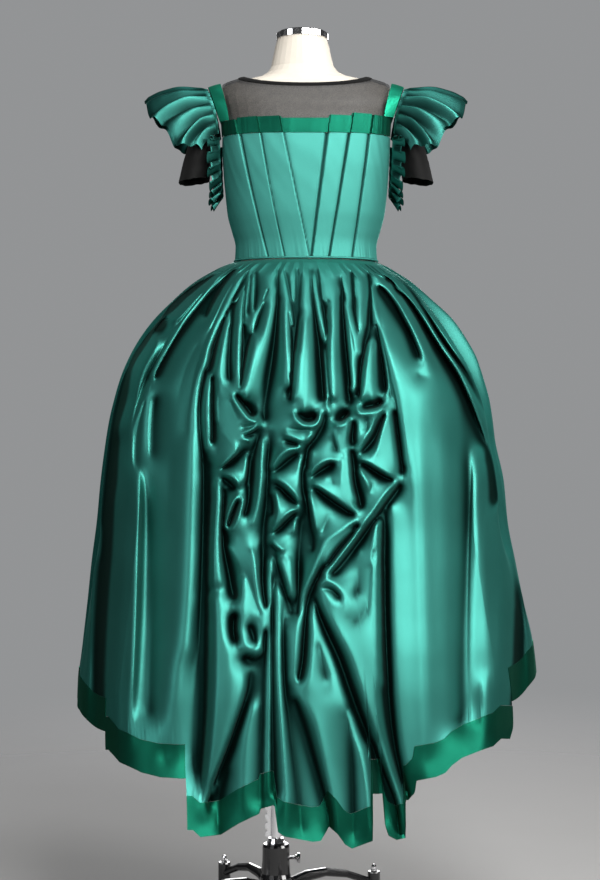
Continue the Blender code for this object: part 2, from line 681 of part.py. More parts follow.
def build_bodice():
    waist = WAIST_Z + 0.0045
    seam = 89.85
    rows = np.linspace(0, 1, 8)
    # back
    table = []
    for f in rows:
        z_mid = waist + (BODICE_TOP_Z - waist) * f
        table.append(bodice_columns(z_mid, seam))
    angle = np.array(table).T
    top = armhole_top(angle[:, -1])
    z = waist + (top[:, None] - waist) * rows[None, :]
    outer = bodice_point(angle, z)
    flat = surface_normals(bodice_base, angle, z, 0.5, 0.004)
    wall("bodice_back", outer, outer - flat * WALL, "satin", angle=30)
    # front
    angle = front_columns()[:, None] + 0 * rows[None, :]
    top = armhole_top(angle[:, -1])
    z = waist + (top[:, None] - waist) * rows[None, :]
    outer = bodice_point(angle, z)
    flat = surface_normals(bodice_base, angle, z, 0.5, 0.004)
    wall("bodice_front", outer, outer - flat * WALL, "satin")
    # top bands, between the straps
    half = 73.0
    cols = np.array(bodice_columns(1.677, half))
    steps = []
    marks = pleat_angles(1.677)
    for a in cols:
        k = sum(1 for m in marks if a > m)
        steps.append(BAND_STEPS[k])
    steps = np.array(steps)
    rows = np.linspace(0, 1, 2)
    z = BODICE_TOP_Z + 0.0006 + rows[None, :] * (TOP_BAND_HEIGHT + steps)[:, None]
    angle = cols[:, None] + 0 * rows[None, :]
    outer = bodice_point(angle, z)
    flat = surface_normals(bodice_base, angle, z, 0.5, 0.004)
    outer = outer + flat * 0.0008
    wall("top_band_back", outer, outer - flat * 0.0020, "matt_band", angle=30)
    angle = np.linspace(107.0, 253.0, 19)[:, None] + 0 * rows[None, :]
    z = BODICE_TOP_Z + 0.0006 + rows[None, :] * TOP_BAND_HEIGHT + 0 * angle
    outer = bodice_point(angle, z)
    flat = surface_normals(bodice_base, angle, z, 0.5, 0.004)
    wall("top_band_front", outer + flat * 0.0008, outer - flat * 0.0012, "matt_band")
    # piping in the waist seam
    ring = []
    angles = np.linspace(0, 360, 44, endpoint=False)
    base = bodice_base(angles, np.full(44, waist))
    flat = surface_normals(bodice_base, angles, np.full(44, waist), 0.5, 0.004)
    flat[:, 2] = 0
    flat /= np.linalg.norm(flat, axis=-1, keepdims=True)
    for da, dz in ((0.0024, -0.0018), (0.0034, 0.0), (0.0024, 0.0018), (-0.0004, 0.0018), (-0.0004, -0.0018)):
        p = base + flat * da
        p[:, 2] = waist - 0.0022 + dz
        ring.append(p)
    rings = [[tuple(r[k]) for r in ring] for k in range(44)]
    loop("waist_piping", rings, "satin")


def loop(name, rings, finish, angle=50):
    """Closed tube: the last ring joins the first."""
    count = len(rings[0])
    total = len(rings)
    verts = [p for ring in rings for p in ring]
    faces = []
    for j in range(total):
        for i in range(count):
            a, b = j * count + i, j * count + (i + 1) % count
            c, d = ((j + 1) % total) * count + (i + 1) % count, ((j + 1) % total) * count + i
            faces += [(a, b, c), (a, c, d)]
    if signed_volume(verts, faces) < 0:
        faces = [(f[0], f[2], f[1]) for f in faces]
    return add_object(name, verts, faces, finish, angle=angle)


def torso_ring(z, offset=0.0):
    return (smooth_interp(TORSO_SECTIONS, z, 1) + offset, smooth_interp(TORSO_SECTIONS, z, 2) + offset,
            smooth_interp(TORSO_SECTIONS, z, 3) + offset, smooth_interp(TORSO_SECTIONS, z, 4))


def torso_base(angle, z, offset=0.0):
    side, back, front, mid = torso_ring(z, offset)
    s, c = np.sin(np.radians(angle)), np.cos(np.radians(angle))
    power = section_power(z)
    s = np.sign(s) * np.abs(s) ** power
    c2 = np.sign(c) * np.abs(c) ** power
    lean = NECK_X * smooth_step(np.asarray(z, float), 1.76, 1.83)
    deep = np.where(c >= 0, back, front)
    return np.stack([side * s + lean, mid - deep * c2, np.asarray(z, float) + 0 * s], axis=-1)


def torso_skin(angle, z, off):
    """Point a true distance off the form's surface."""
    angle, z = np.broadcast_arrays(np.asarray(angle, float), np.asarray(z, float))
    n = surface_normals(torso_base, angle, z, 1.5, 0.003)
    return torso_base(angle, z) + n * off


def build_form():
    heights = [r[0] for r in TORSO_SECTIONS]
    extra = [1.375, 1.45, 1.66]
    heights = sorted(heights[:-1] + extra)
    angles = np.linspace(0, 360, 32, endpoint=False)
    rings = []
    for z in heights:
        rings.append([tuple(p) for p in torso_base(angles, np.full(32, z))])
    # the top of the neck slopes down toward the front
    rings.append(neck_slice(angles, 0.0, 0.0))
    stack("torso", rings, "cover", angle=60)
    # thin metal cap on the neck, with a small rim
    cap = [neck_slice(angles, 0.0003, 0.0000), neck_slice(angles, 0.0005, 0.0018),
           neck_slice(angles, 0.0125, 0.0016), neck_slice(angles, 0.0150, -0.0014), neck_slice(angles, 0.0165, -0.0080)]
    stack("neck_cap", cap, "chrome", angle=40)


def neck_slice(angles, rise, grow):
    """Section of the neck on its sloping top plane."""
    p = torso_base(angles, np.full(angles.shape, NECK_TOP_Z), grow)
    y = p[:, 1]
    p[:, 2] = NECK_TOP_Z + rise - 0.10 * (y - 0.02)
    return [tuple(q) for q in p]


def yoke_side_limit(z):
    """Angle at which the yoke meets the inner edge of the strap."""
    across = float(np.interp(z, [1.700, 1.745, 1.770], [0.1555, 0.1645, 0.1730]))
    share = across / float(torso_ring(z)[0])
    if share >= 0.999:
        return 89.6
    return math.degrees(math.asin(share ** (1 / float(section_power(z)))))


def neckline(angle):
    """Height of the mesh's neck edge round the neck opening."""
    s = np.abs(np.sin(np.radians(angle)))
    low = np.where(np.cos(np.radians(angle)) > 0, 1.7600, 1.7520)
    return low + (1.7835 - low) * s ** 1.6


def build_yoke():
    for name, middle, start in (("yoke_back", 0.0, 1.7080), ("yoke_front", 180.0, 1.6960)):
        rows = np.array([0.0, 0.28, 0.52, 0.70, 0.83, 0.93, 1.0])
        count, steps = 16, len(rows)
        share = np.sin(np.linspace(-1, 1, count + 1) * PI / 2 * 0.8) / math.sin(PI / 2 * 0.8)
        outer = np.zeros((count + 1, steps, 3))
        inner = np.zeros((count + 1, steps, 3))
        for j, f in enumerate(rows):
            a = share * yoke_side_limit(start + (1.7835 - start) * f)
            z = start + (neckline(a + middle) - start) * f
            outer[:, j] = torso_skin(a + middle, z, 0.0062)
            inner[:, j] = torso_skin(a + middle, z, 0.0050)
        wall(name, outer, inner, "mesh")
    # binding round the neck edge
    angles = np.linspace(0, 360, 40, endpoint=False)
    rings = []
    for a in angles:
        z = float(neckline(np.array(a)))
        high = 0.0042 + 0.0046 * math.cos(math.radians(a)) ** 2
        ring = []
        for out, dz in ((0.0074, 0.0020), (0.0074, high), (0.0048, high), (0.0048, 0.0020)):
            ring.append(tuple(torso_skin(a, z + dz, out)))
        rings.append(ring)
    loop("neck_binding", rings, "black_cloth")


# the two edges of the left strap, from back to front; the right mirrors it
STRAP_EDGES = (
    # inner x, y,     z,      outer x, y,      z
    (-0.1585, -0.0800, 1.6940, -0.1780, -0.0620, 1.6940),
    (-0.1630, -0.0780, 1.7200, -0.1850, -0.0610, 1.7200),
    (-0.1690, -0.0680, 1.7450, -0.1940, -0.0530, 1.7450),
    (-0.1750, -0.0460, 1.7665, -0.2010, -0.0370, 1.7625),
    (-0.1790, -0.0100, 1.7800, -0.2050, -0.0080, 1.7725),
    (-0.1780, 0.0250, 1.7760, -0.2040, 0.0220, 1.7690),
    (-0.1720, 0.0530, 1.7540, -0.1970, 0.0450, 1.7490),
    (-0.1630, 0.0750, 1.7220, -0.1860, 0.0590, 1.7220),
    (-0.1570, 0.0870, 1.6990, -0.1770, 0.0660, 1.6990),
)


def strap_point(share, across):
    """share runs from back to front, across from the inner to the outer edge."""
    inner = seam_curve([r[:3] for r in STRAP_EDGES], share)
    outer = seam_curve([r[3:] for r in STRAP_EDGES], share)
    return inner + (outer - inner) * np.asarray(across)[..., None]


def build_straps():
    for side, name, start in ((1, "strap_left", 0.0), (-1, "strap_right", 0.050)):
        # each strap starts just above the band, which stands higher on the right
        share, across = np.meshgrid(np.linspace(start, 1, 17), np.linspace(0, 1, 3), indexing="ij")
        p = strap_point(share, across)
        n = surface_normals(strap_point, share, across, 0.01, 0.05)
        if n[8, 1, 2] < 0:
            n = -n
        flip = np.array([side, 1, 1], float)
        wall(name, (p + n * 0.0016) * flip, p * flip, "matt_band")


# armhole seam for the left, from the lower back over the shoulder to the front
ARMHOLE_LINE = (
    # x,      y,      z
    (-0.1808, -0.0630, 1.6740),
    (-0.1842, -0.0622, 1.7020),
    (-0.1885, -0.0598, 1.7240),
    (-0.1955, -0.0532, 1.7450),
    (-0.2024, -0.0374, 1.7625),
    (-0.2064, -0.0080, 1.7725),
    (-0.2054, 0.0220, 1.7690),
    (-0.1984, 0.0455, 1.7490),
    (-0.1900, 0.0570, 1.7300),
    (-0.1845, 0.0625, 1.7060),
    (-0.1800, 0.0670, 1.6780),
)
# reach of the flutter sleeve from the seam, along its line
FLUTTER_REACH = (
    # share, outward, fall
    (0.00, 0.040, 0.040),
    (0.16, 0.085, 0.062),
    (0.34, 0.122, 0.048),
    (0.50, 0.134, 0.026),
    (0.66, 0.122, 0.046),
    (0.84, 0.085, 0.062),
    (1.00, 0.036, 0.042),
)
FLUTTER_WAVES = 4.5


def seam_curve(table, share):
    count = len(table)
    keys = np.linspace(0, 1, count)
    rows = [(k,) + tuple(r) for k, r in zip(keys, table)]
    return np.stack([smooth_interp_any(rows, share, c) for c in (1, 2, 3)], axis=-1)


def smooth_interp_any(rows, value, column):
    """Catmull-Rom through evenly spaced rows."""
    y = np.array([r[column] for r in rows], float)
    n = len(y) - 1
    v = np.clip(np.asarray(value, float), 0, 1) * n
    i = np.clip(np.floor(v).astype(int), 0, n - 1)
    s = v - i
    p0, p1 = y[np.maximum(i - 1, 0)], y[i]
    p2, p3 = y[i + 1], y[np.minimum(i + 2, n)]
    return 0.5 * (2 * p1 + (p2 - p0) * s + (2 * p0 - 5 * p1 + 4 * p2 - p3) * s ** 2 + (-p0 + 3 * p1 - 3 * p2 + p3) * s ** 3)


def flutter_point(share, reach):
    reach_in = np.maximum(reach, 0.0)
    seam = seam_curve(ARMHOLE_LINE, share)
    outward = interp_columns(FLUTTER_REACH, share, 1)
    fall = interp_columns(FLUTTER_REACH, share, 2)
    spread = (share - 0.5) * 2.0
    direction = np.stack([-np.ones_like(share), 0.55 * spread, 0 * share], axis=-1)
    direction /= np.linalg.norm(direction, axis=-1, keepdims=True)
    p = seam + direction * (outward * reach)[..., None]
    p[..., 2] -= fall * reach_in ** 1.6
    wave = np.sin(share * 2 * PI * FLUTTER_WAVES + 0.6) * 0.013 * reach_in ** 1.2
    p[..., 2] += wave * (0.35 + 0.65 * np.abs(np.cos(share * PI)) * 0.6)
    p[..., 1] += wave * 0.5
    return p


def build_sleeves():
    share, reach = np.meshgrid(np.linspace(0, 1, 27), np.linspace(0.0, 1, 5), indexing="ij")
    p = flutter_point(share, reach)
    n = surface_normals(flutter_point, share, reach, 0.01, 0.02)
    n = np.where(n[..., 2:3] < 0, -n, n)
    for side, name in ((1, "flutter_sleeve_left"), (-1, "flutter_sleeve_right")):
        flip = np.array([side, 1, 1], float)
        wall(name, (p + n * WALL * 0.5) * flip, (p - n * WALL * 0.5) * flip, "satin")
    # plain black short sleeve under each flutter: an open tube
    rows = (
        # x,      z,     half width, half depth
        (-0.2040, 1.7400, 0.0060, 0.036),
        (-0.2080, 1.7060, 0.0140, 0.052),
        (-0.2180, 1.6680, 0.0200, 0.060),
        (-0.2290, 1.6200, 0.0250, 0.058),
        (-0.2380, 1.5730, 0.0260, 0.054),
    )
    angles = np.linspace(0, 360, 18, endpoint=False)
    for side, name in ((1, "short_sleeve_left"), (-1, "short_sleeve_right")):
        outer = np.zeros((18, len(rows), 3))
        inner = np.zeros((18, len(rows), 3))
        for j, (x, z, w, d) in enumerate(rows):
            for grid, grow in ((outer, 0.0), (inner, -0.0012)):
                grid[:, j, 0] = (x + (w + grow) * np.cos(np.radians(angles))) * side
                grid[:, j, 1] = (d + grow) * np.sin(np.radians(angles))
                grid[:, j, 2] = z + 0.10 * (w + grow) * np.cos(np.radians(angles))
        wall(name, outer, inner, "black_cloth", ring=True)


# lower ruffle: from the back of the armhole, down and under the arm, to the front
RUFFLE_LINE = (
    # x,      y,      z
    (-0.1815, -0.0620, 1.6600),
    (-0.1810, -0.0590, 1.6250),
    (-0.1795, -0.0500, 1.5850),
    (-0.1775, -0.0310, 1.5560),
    (-0.1770, 0.0000, 1.5440),
    (-0.1775, 0.0310, 1.5560),
    (-0.1795, 0.0500, 1.5850),
    (-0.1810, 0.0600, 1.6250),
    (-0.1815, 0.0640, 1.6600),
)
RUFFLE_WIDTH = 0.024
RUFFLE_WAVES = 9


def ruffle_point(share, reach):
    seam = seam_curve(RUFFLE_LINE, share)
    down = 0.020 * np.sin(PI * share) * reach
    p = seam.copy()
    p[..., 0] -= RUFFLE_WIDTH * reach * (0.85 + 0.15 * np.sin(share * 2 * PI * RUFFLE_WAVES * 0.5 + 1.0))
    wave = np.sin(share * 2 * PI * RUFFLE_WAVES) * 0.0068 * reach
    p[..., 2] += wave * np.abs(np.cos(PI * share)) - down
    p[..., 1] += wave * np.sin(PI * share)
    return p


def build_ruffles():
    share, reach = np.meshgrid(np.linspace(0, 1, 46), np.linspace(0.03, 1, 2), indexing="ij")
    p = ruffle_point(share, reach)
    n = surface_normals(ruffle_point, share, reach, 0.005, 0.03)
    for side, name in ((1, "armhole_ruffle_left"), (-1, "armhole_ruffle_right")):
        flip = np.array([side, 1, 1], float)
        wall(name, (p + n * 0.0006) * flip, (p - n * 0.0006) * flip, "satin")


# stand
HUB_TOP_Z = 0.188
LEG_ANGLES = (29, 119, 209, 299)
POST_RADIUS = 0.2400
THUMB_Z = 0.158


def build_stand():
    x = POLE_X
    # hub: tapered casting with a turned shoulder
    turned("hub", x, 0, ((0.0300, 0.0700), (0.0330, 0.0760), (0.0330, 0.1180), (0.0300, 0.1260),
                         (0.0290, 0.1500), (0.0285, 0.1820), (0.0268, 0.1870), (0.0262, HUB_TOP_Z)), "black_enamel", 22)
    # collar of stacked rings round the foot of the tube
    turned("collar", x, 0, ((0.0112, 0.1883), (0.0190, 0.1883), (0.0195, 0.1900), (0.0190, 0.1925), (0.0176, 0.1930),
                            (0.0172, 0.1960), (0.0166, 0.1965), (0.0160, 0.2000), (0.0112, 0.2000)), "chrome", 18, closed=True)
    # outer tube, fixed in the hub, open at the top for the lift pole
    turned("outer_tube", x, 0, ((0.0088, 0.1884), (0.0107, 0.1884), (0.0107, 0.7600), (0.0088, 0.7600)), "chrome", 16, closed=True)
    # notched strip beside the tube: a flat bar with notches cut in its outer edge
    pitch = 0.0185
    near_x, deep, proud = x - 0.0112, 0.0070, 0.0110
    rings = []
    z = 0.2020
    while z + pitch < 0.7280:
        for dz, reach in ((0.0, proud), (pitch * 0.55, proud), (pitch * 0.66, deep), (pitch * 0.90, deep)):
            rings.append([(near_x, -0.0030, z + dz), (near_x, 0.0030, z + dz),
                          (near_x - reach, 0.0030, z + dz), (near_x - reach, -0.0030, z + dz)])
        z += pitch
    stack("notched_strip", rings, "chrome", angle=20)
    # friction collar at the top of the outer tube
    turned("lift_collar", x, 0, ((0.0110, 0.7300), (0.0190, 0.7300), (0.0200, 0.7330), (0.0200, 0.7570), (0.0190, 0.7600),
                                 (0.0110, 0.7600)), "black_enamel", 18, closed=True)
    # lift pole with the round plate that carries the form
    turned("lift_pole", x, 0, ((0.0083, 0.4000), (0.0083, 1.0400), (0.0340, 1.0440), (0.0350, 1.0455), (0.0350, 1.0500)),
           "chrome", 18, origin=(x, 0, 0.4000))
    # thumb screw through the hub's side
    ring_count = 14
    rings = []
    for px, r in ((0.0285 + 0.0004, 0.0035), (0.0400, 0.0035), (0.0400, 0.0060), (0.0440, 0.0060), (0.0440, 0.0095),
                  (0.0450, 0.0102), (0.0500, 0.0102), (0.0510, 0.0095)):
        rings.append([(x + px, r * math.cos(2 * PI * k / ring_count), THUMB_Z + r * math.sin(2 * PI * k / ring_count))
                      for k in range(ring_count)])
    stack("thumb_screw", rings, "chrome", origin=(x + 0.0400, 0, THUMB_Z))
    for k, degrees in enumerate(LEG_ANGLES):
        a = math.radians(degrees)
        ux, uy = math.cos(a), math.sin(a)
        line = (
            # out,   z,     half width, half height
            (0.0340, 0.098, 0.0110, 0.0160),
            (0.0700, 0.112, 0.0095, 0.0120),
            (0.1200, 0.116, 0.0085, 0.0095),
            (0.1700, 0.107, 0.0080, 0.0085),
            (0.2050, 0.094, 0.0080, 0.0080),
            (0.2340, 0.083, 0.0080, 0.0080),
        )
        rings = []
        for out, z, w, h in line:
            ring = []
            for m in range(10):
                t = 2 * PI * m / 10
                ring.append((x + ux * out - uy * w * math.cos(t), uy * out + ux * w * math.cos(t), z + h * math.sin(t)))
            rings.append(ring)
        leg = stack("leg_%d" % (k + 1), rings, "black_enamel")
        px, py = x + ux * POST_RADIUS, uy * POST_RADIUS
        post = turned("leg_post_%d" % (k + 1), px, py, ((0.0090, 0.0123), (0.0125, 0.0400), (0.0135, 0.0700), (0.0135, 0.1020),
                                                          (0.0125, 0.1050)), "black_enamel", 14)
        union(leg, post)
        turned("nut_%d" % (k + 1), px, py, ((0.0070, 0.1053), (0.0070, 0.1090), (0.0060, 0.1096), (0.0056, 0.1150),
                                             (0.0040, 0.1185), (0.0014, 0.1200)), "chrome", 12)
        turned("foot_%d" % (k + 1), px, py, ((0.0150, 0.0), (0.0160, 0.0030), (0.0150, 0.0100), (0.0120, 0.0120)), "rubber", 14)


build_skirt()
build_bodice()
build_form()
build_yoke()
build_straps()
build_sleeves()
build_ruffles()
build_stand()
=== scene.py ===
"""Looks of the ball gown on its form and stand: cloth as fine shells on the solids'
own forms, with the creases placed one by one, and the finish of every surface.

Metres, +Z up, the same frame as the solids.  The back of the gown faces -Y.
Grid places (x, y) are on the elevation of the back: one unit is UNIT metres on
the plane through the form's axis, x grows to +X and y grows downwards.
"""
import bpy
import math
import numpy as np
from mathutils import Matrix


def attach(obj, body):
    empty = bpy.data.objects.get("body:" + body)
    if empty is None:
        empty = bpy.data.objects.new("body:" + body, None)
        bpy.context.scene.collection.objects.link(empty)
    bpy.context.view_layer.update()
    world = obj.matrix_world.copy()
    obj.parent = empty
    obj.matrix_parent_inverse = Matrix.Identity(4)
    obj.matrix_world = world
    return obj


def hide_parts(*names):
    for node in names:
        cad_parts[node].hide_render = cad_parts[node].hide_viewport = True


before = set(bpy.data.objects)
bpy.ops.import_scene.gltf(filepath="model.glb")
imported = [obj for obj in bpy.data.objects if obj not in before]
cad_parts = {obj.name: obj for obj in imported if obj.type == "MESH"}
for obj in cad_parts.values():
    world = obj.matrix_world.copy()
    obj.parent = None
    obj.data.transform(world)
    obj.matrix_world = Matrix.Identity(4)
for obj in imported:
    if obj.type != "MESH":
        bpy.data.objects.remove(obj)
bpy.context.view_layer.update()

# ------------------------------------------------------------------ sizes
UNIT = 0.0021              # one unit of the elevation grid, on the axis plane
GRID_AXIS_X = 306.0        # grid x of the form's axis
GRID_EYE_Y = 440.0         # grid y of the eye height
EYE_DISTANCE = 4.2         # from the eye to the axis plane
EYE_HEIGHT = 1.035
EYE_X = -0.0126
SHIFT_Y = 0.037            # puts the middle of the whole object over the origin

SATIN = 0.0012             # cloth wall
WALL = 0.0014              # wall used for the satin solids
SEAM_GAP = 0.0003

WAIST_Z = 1.407
BAND_HEIGHT = 0.066        # matt hem band
POLE_X = -0.063            # the pole stands off the form's axis
TORSO_FLOOR_Z = 1.050

# skirt: half widths of the smooth dome at each height, no folds
SKIRT_SECTIONS = (
    # z,     left,  right
    (1.4070, 0.151, 0.147),
    (1.4000, 0.176, 0.170),
    (1.3880, 0.200, 0.190),
    (1.3710, 0.229, 0.217),
    (1.3540, 0.252, 0.238),
    (1.3370, 0.271, 0.257),
    (1.2870, 0.321, 0.310),
    (1.2450, 0.352, 0.339),
    (1.2030, 0.375, 0.362),
    (1.1610, 0.392, 0.376),
    (1.1190, 0.404, 0.388),
    (1.0770, 0.414, 0.395),
    (1.0350, 0.421, 0.400),
    (0.9510, 0.432, 0.417),
    (0.8670, 0.440, 0.424),
    (0.7830, 0.451, 0.440),
    (0.6990, 0.460, 0.457),
    (0.6150, 0.470, 0.476),
    (0.5300, 0.480, 0.484),
    (0.4000, 0.484, 0.487),
    (0.2500, 0.486, 0.489),
)
WAIST_BACK, WAIST_FRONT = 0.108, 0.110
BACK_REACH, FRONT_REACH = 0.93, 0.76   # growth in depth for each metre of growth in width

# hem of each skirt panel on the elevation grid, left to right
HEM_SIDE_BACK_LEFT = (
    # x,  y
    (106.6, 750), (114.5, 763), (137, 773.5), (157, 778), (181, 779), (194, 777.5))
HEM_CENTRE_BACK = (
    (190.6, 831), (198.5, 838), (220, 835), (238, 824), (259, 814), (260.5, 809),
    (274.6, 805), (277.0, 832), (284.5, 837), (313, 842), (321, 841), (329, 826),
    (337.6, 834), (345.5, 845), (352.4, 849), (374.0, 841), (375.0, 794),
    (382.5, 793), (384.5, 824), (389, 836), (397, 840), (406, 838), (407.5, 800),
    (415.5, 793), (417.0, 781), (438, 777.5), (448, 773.5), (455, 766))
HEM_SIDE_BACK_RIGHT = (
    (455, 766), (465, 758.7), (480, 753), (497.7, 746.8), (504, 739))
# hem heights round the hidden side, by angle from the centre back
HEM_RIGHT_AND_FRONT = (
    # angle, z
    (57, 0.515), (66, 0.535), (80, 0.553), (90, 0.552), (110, 0.535), (135, 0.515), (180, 0.500))
HEM_LEFT_AND_FRONT = (
    (-180, 0.500), (-135, 0.500), (-110, 0.500), (-90, 0.494), (-75, 0.482), (-55, 0.455))

# seams between the skirt panels: angle from the centre back at waist and hem
SKIRT_PANELS = (
    # name,                     left seam (waist, hem), right seam (waist, hem), columns
    ("skirt_centre_back",       (-28, -28.8), (26, 36.6), 28),
    ("skirt_side_back_right",   (26, 36.6), (58, 57.0), 8),
    ("skirt_side_front_right",  (58, 57.0), (122, 122.0), 10),
    ("skirt_centre_front",      (122, 122.0), (238, 238.0), 14),
    ("skirt_side_front_left",   (-122, -122.0), (-60, -55.5), 10),
    ("skirt_side_back_left",    (-60, -55.5), (-28, -28.8), 8),
)
SHARED_LOW_Z = 0.640        # panels share their row heights down to here
SHARED_ROWS = 9
LOW_ROWS = 2
SEAM_LOW_Z = 0.350          # the seams reach their hem angle here

# long soft folds round the whole skirt, by angle from the centre back
ROUND_FOLDS = (
    # angle at waist, at hem, z start, z end, height (mm), width (deg)
    (-76, -66, 1.37, 0.40, 7, 9), (-50, -47, 1.34, 0.35, 9, 8), (-38, -37, 1.30, 0.35, 7, 6),
    (-95, -84, 1.36, 0.45, 6, 10), (-112, -104, 1.36, 0.50, 8, 11), (-134, -128, 1.36, 0.50, 9, 12),
    (-156, -152, 1.36, 0.50, 8, 11), (-176, -174, 1.36, 0.50, 10, 12),
    (43, 43, 1.33, 0.35, 8, 7), (52, 50, 1.30, 0.40, 7, 5), (70, 68, 1.36, 0.45, 6, 9),
    (88, 84, 1.36, 0.50, 6, 10), (108, 104, 1.36, 0.50, 9, 12), (131, 128, 1.36, 0.50, 8, 11),
    (158, 153, 1.36, 0.50, 9, 12),
)
# layered edges of the side panels on the elevation grid (free edge stands out)
EDGE_FOLDS = (
    (114, 420, 113, 560, 107, 740, 2, 14, 6, 80),
    (196, 560, 194, 680, 192, 770, 4, 16, 90, 6),
    (512, 560, 510, 640, 504, 735, 2, 14, 90, 6),
    (385, 560, 380, 660, 396, 780, 3, 3, 8, 60),
)

# bodice: sections between waist and top
BODICE_SECTIONS = (
    # z,     side,  back,  front
    (1.4110, 0.1485, 0.106, 0.110),
    (1.4380, 0.1475, 0.107, 0.113),
    (1.4720, 0.1555, 0.111, 0.122),
    (1.5050, 0.1640, 0.116, 0.134),
    (1.5600, 0.1700, 0.121, 0.150),
    (1.6150, 0.1740, 0.124, 0.152),
    (1.6620, 0.1770, 0.122, 0.138),
    (1.6960, 0.1790, 0.117, 0.124),
)
ARMHOLE_Z = 1.585          # bottom of the armhole
BODICE_TOP_Z = 1.6620      # the band starts here
TOP_BAND_HEIGHT = 0.0300
# pleats of the bodice back: grid x at the band, grid x at the waist, and where
# the band steps up or down beside it
PLEATS = (
    # top x, waist x, free edge toward
    (239.0, 267.0, "centre"),
    (260.0, 284.0, "centre"),
    (283.0, 309.0, "centre"),
    (328.0, 312.5, "centre"),
    (350.0, 330.0, "centre"),
    (370.0, 353.0, "centre"),
)
PLEAT_STEP = 0.0040
# height by which the band stands above or below its line between the pleats
BAND_STEPS = (0.000, 0.004, 0.004, 0.000, 0.006, 0.011, 0.009)

# dress form
TORSO_SECTIONS = (
    # z,     side,  back,  front, centre y
    (1.0503, 0.120, 0.090, 0.090, 0.0),
    (1.0570, 0.146, 0.104, 0.102, 0.0),
    (1.1300, 0.155, 0.110, 0.106, 0.0),
    (1.2300, 0.156, 0.112, 0.104, 0.0),
    (1.3300, 0.146, 0.104, 0.100, 0.0),
    (1.4150, 0.136, 0.095, 0.097, 0.0),
    (1.4900, 0.145, 0.101, 0.114, 0.0),
    (1.5600, 0.157, 0.109, 0.136, 0.0),
    (1.6300, 0.162, 0.112, 0.135, 0.0),
    (1.6900, 0.168, 0.107, 0.114, 0.0),
    (1.7300, 0.178, 0.094, 0.088, 0.0),
    (1.7500, 0.185, 0.082, 0.070, 0.0),
    (1.7640, 0.183, 0.073, 0.059, 0.0),
    (1.7740, 0.172, 0.068, 0.053, 0.0),
    (1.7820, 0.150, 0.065, 0.050, 0.0),
    (1.7890, 0.122, 0.062, 0.049, 0.001),
    (1.7960, 0.093, 0.059, 0.049, 0.003),
    (1.8060, 0.0750, 0.056, 0.050, 0.005),
    (1.8180, 0.0665, 0.052, 0.051, 0.008),
    (1.8420, 0.0610, 0.049, 0.053, 0.012),
    (1.8640, 0.0567, 0.046, 0.052, 0.016),
    (1.8780, 0.0530, 0.044, 0.050, 0.019),
)
BOX_POWER = ((1.00, 0.90), (1.45, 0.86), (1.60, 0.68), (1.74, 0.64), (1.790, 0.84), (1.83, 1.0))
NECK_X = -0.008            # the neck column stands a little to the left
NECK_TOP_Z = 1.878

PI = math.pi


# ------------------------------------------------------------------ helpers
def grid_across(x):
    return (np.asarray(x, float) - GRID_AXIS_X) * UNIT


def grid_up(y):
    return EYE_HEIGHT - (np.asarray(y, float) - GRID_EYE_Y) * UNIT


def on_elevation(p):
    """Where a point shows on the elevation, in metres on the axis plane."""
    f = EYE_DISTANCE / (EYE_DISTANCE + p[..., 1])
    return EYE_X + (p[..., 0] - EYE_X) * f, EYE_HEIGHT + (p[..., 2] - EYE_HEIGHT) * f


def interp_columns(table, value, column, key=0):
    rows = sorted(table, key=lambda r: r[key])
    return np.interp(value, [r[key] for r in rows], [r[column] for r in rows])


def smooth_interp(table, value, column):
    """Monotone cubic through the table's rows (Fritsch and Carlson)."""
    rows = sorted(table, key=lambda r: r[0])
    x = np.array([r[0] for r in rows], float)
    y = np.array([r[column] for r in rows], float)
    d = np.diff(y) / np.diff(x)
    m = np.empty_like(y)
    m[0], m[-1] = d[0], d[-1]
    same = d[:-1] * d[1:] > 0
    m[1:-1] = np.where(same, 2 * d[:-1] * d[1:] / np.where(same, d[:-1] + d[1:], 1.0), 0.0)
    v = np.clip(np.asarray(value, float), x[0], x[-1])
    i = np.clip(np.searchsorted(x, v) - 1, 0, len(x) - 2)
    h = x[i + 1] - x[i]
    s = (v - x[i]) / h
    return (y[i] * (1 + 2 * s) * (1 - s) ** 2 + h * m[i] * s * (1 - s) ** 2
            + y[i + 1] * s * s * (3 - 2 * s) + h * m[i + 1] * s * s * (s - 1))


def smooth_max(a, b, k):
    return np.maximum(a, b) + np.maximum(k - np.abs(a - b), 0.0) ** 2 / (4 * k)


def smooth_step(x, lo, hi):
    s = np.clip((x - lo) / (hi - lo), 0.0, 1.0)
    return s * s * (3 - 2 * s)


def surface_normals(fn, a, b, da=0.4, db=0.004, sign=1.0):
    """Outward normals of a surface fn(a, b) by central differences."""
    ta = fn(a + da, b) - fn(a - da, b)
    tb = fn(a, b + db) - fn(a, b - db)
    n = np.cross(ta, tb) * sign
    return n / np.maximum(np.linalg.norm(n, axis=-1, keepdims=True), 1e-12)

# ------------------------------------------------------------------ creases
# Each row is one crease as it shows on the elevation: places (x, y, height),
# height in mm off the smooth dome.  The cloth is stretched over and under them.

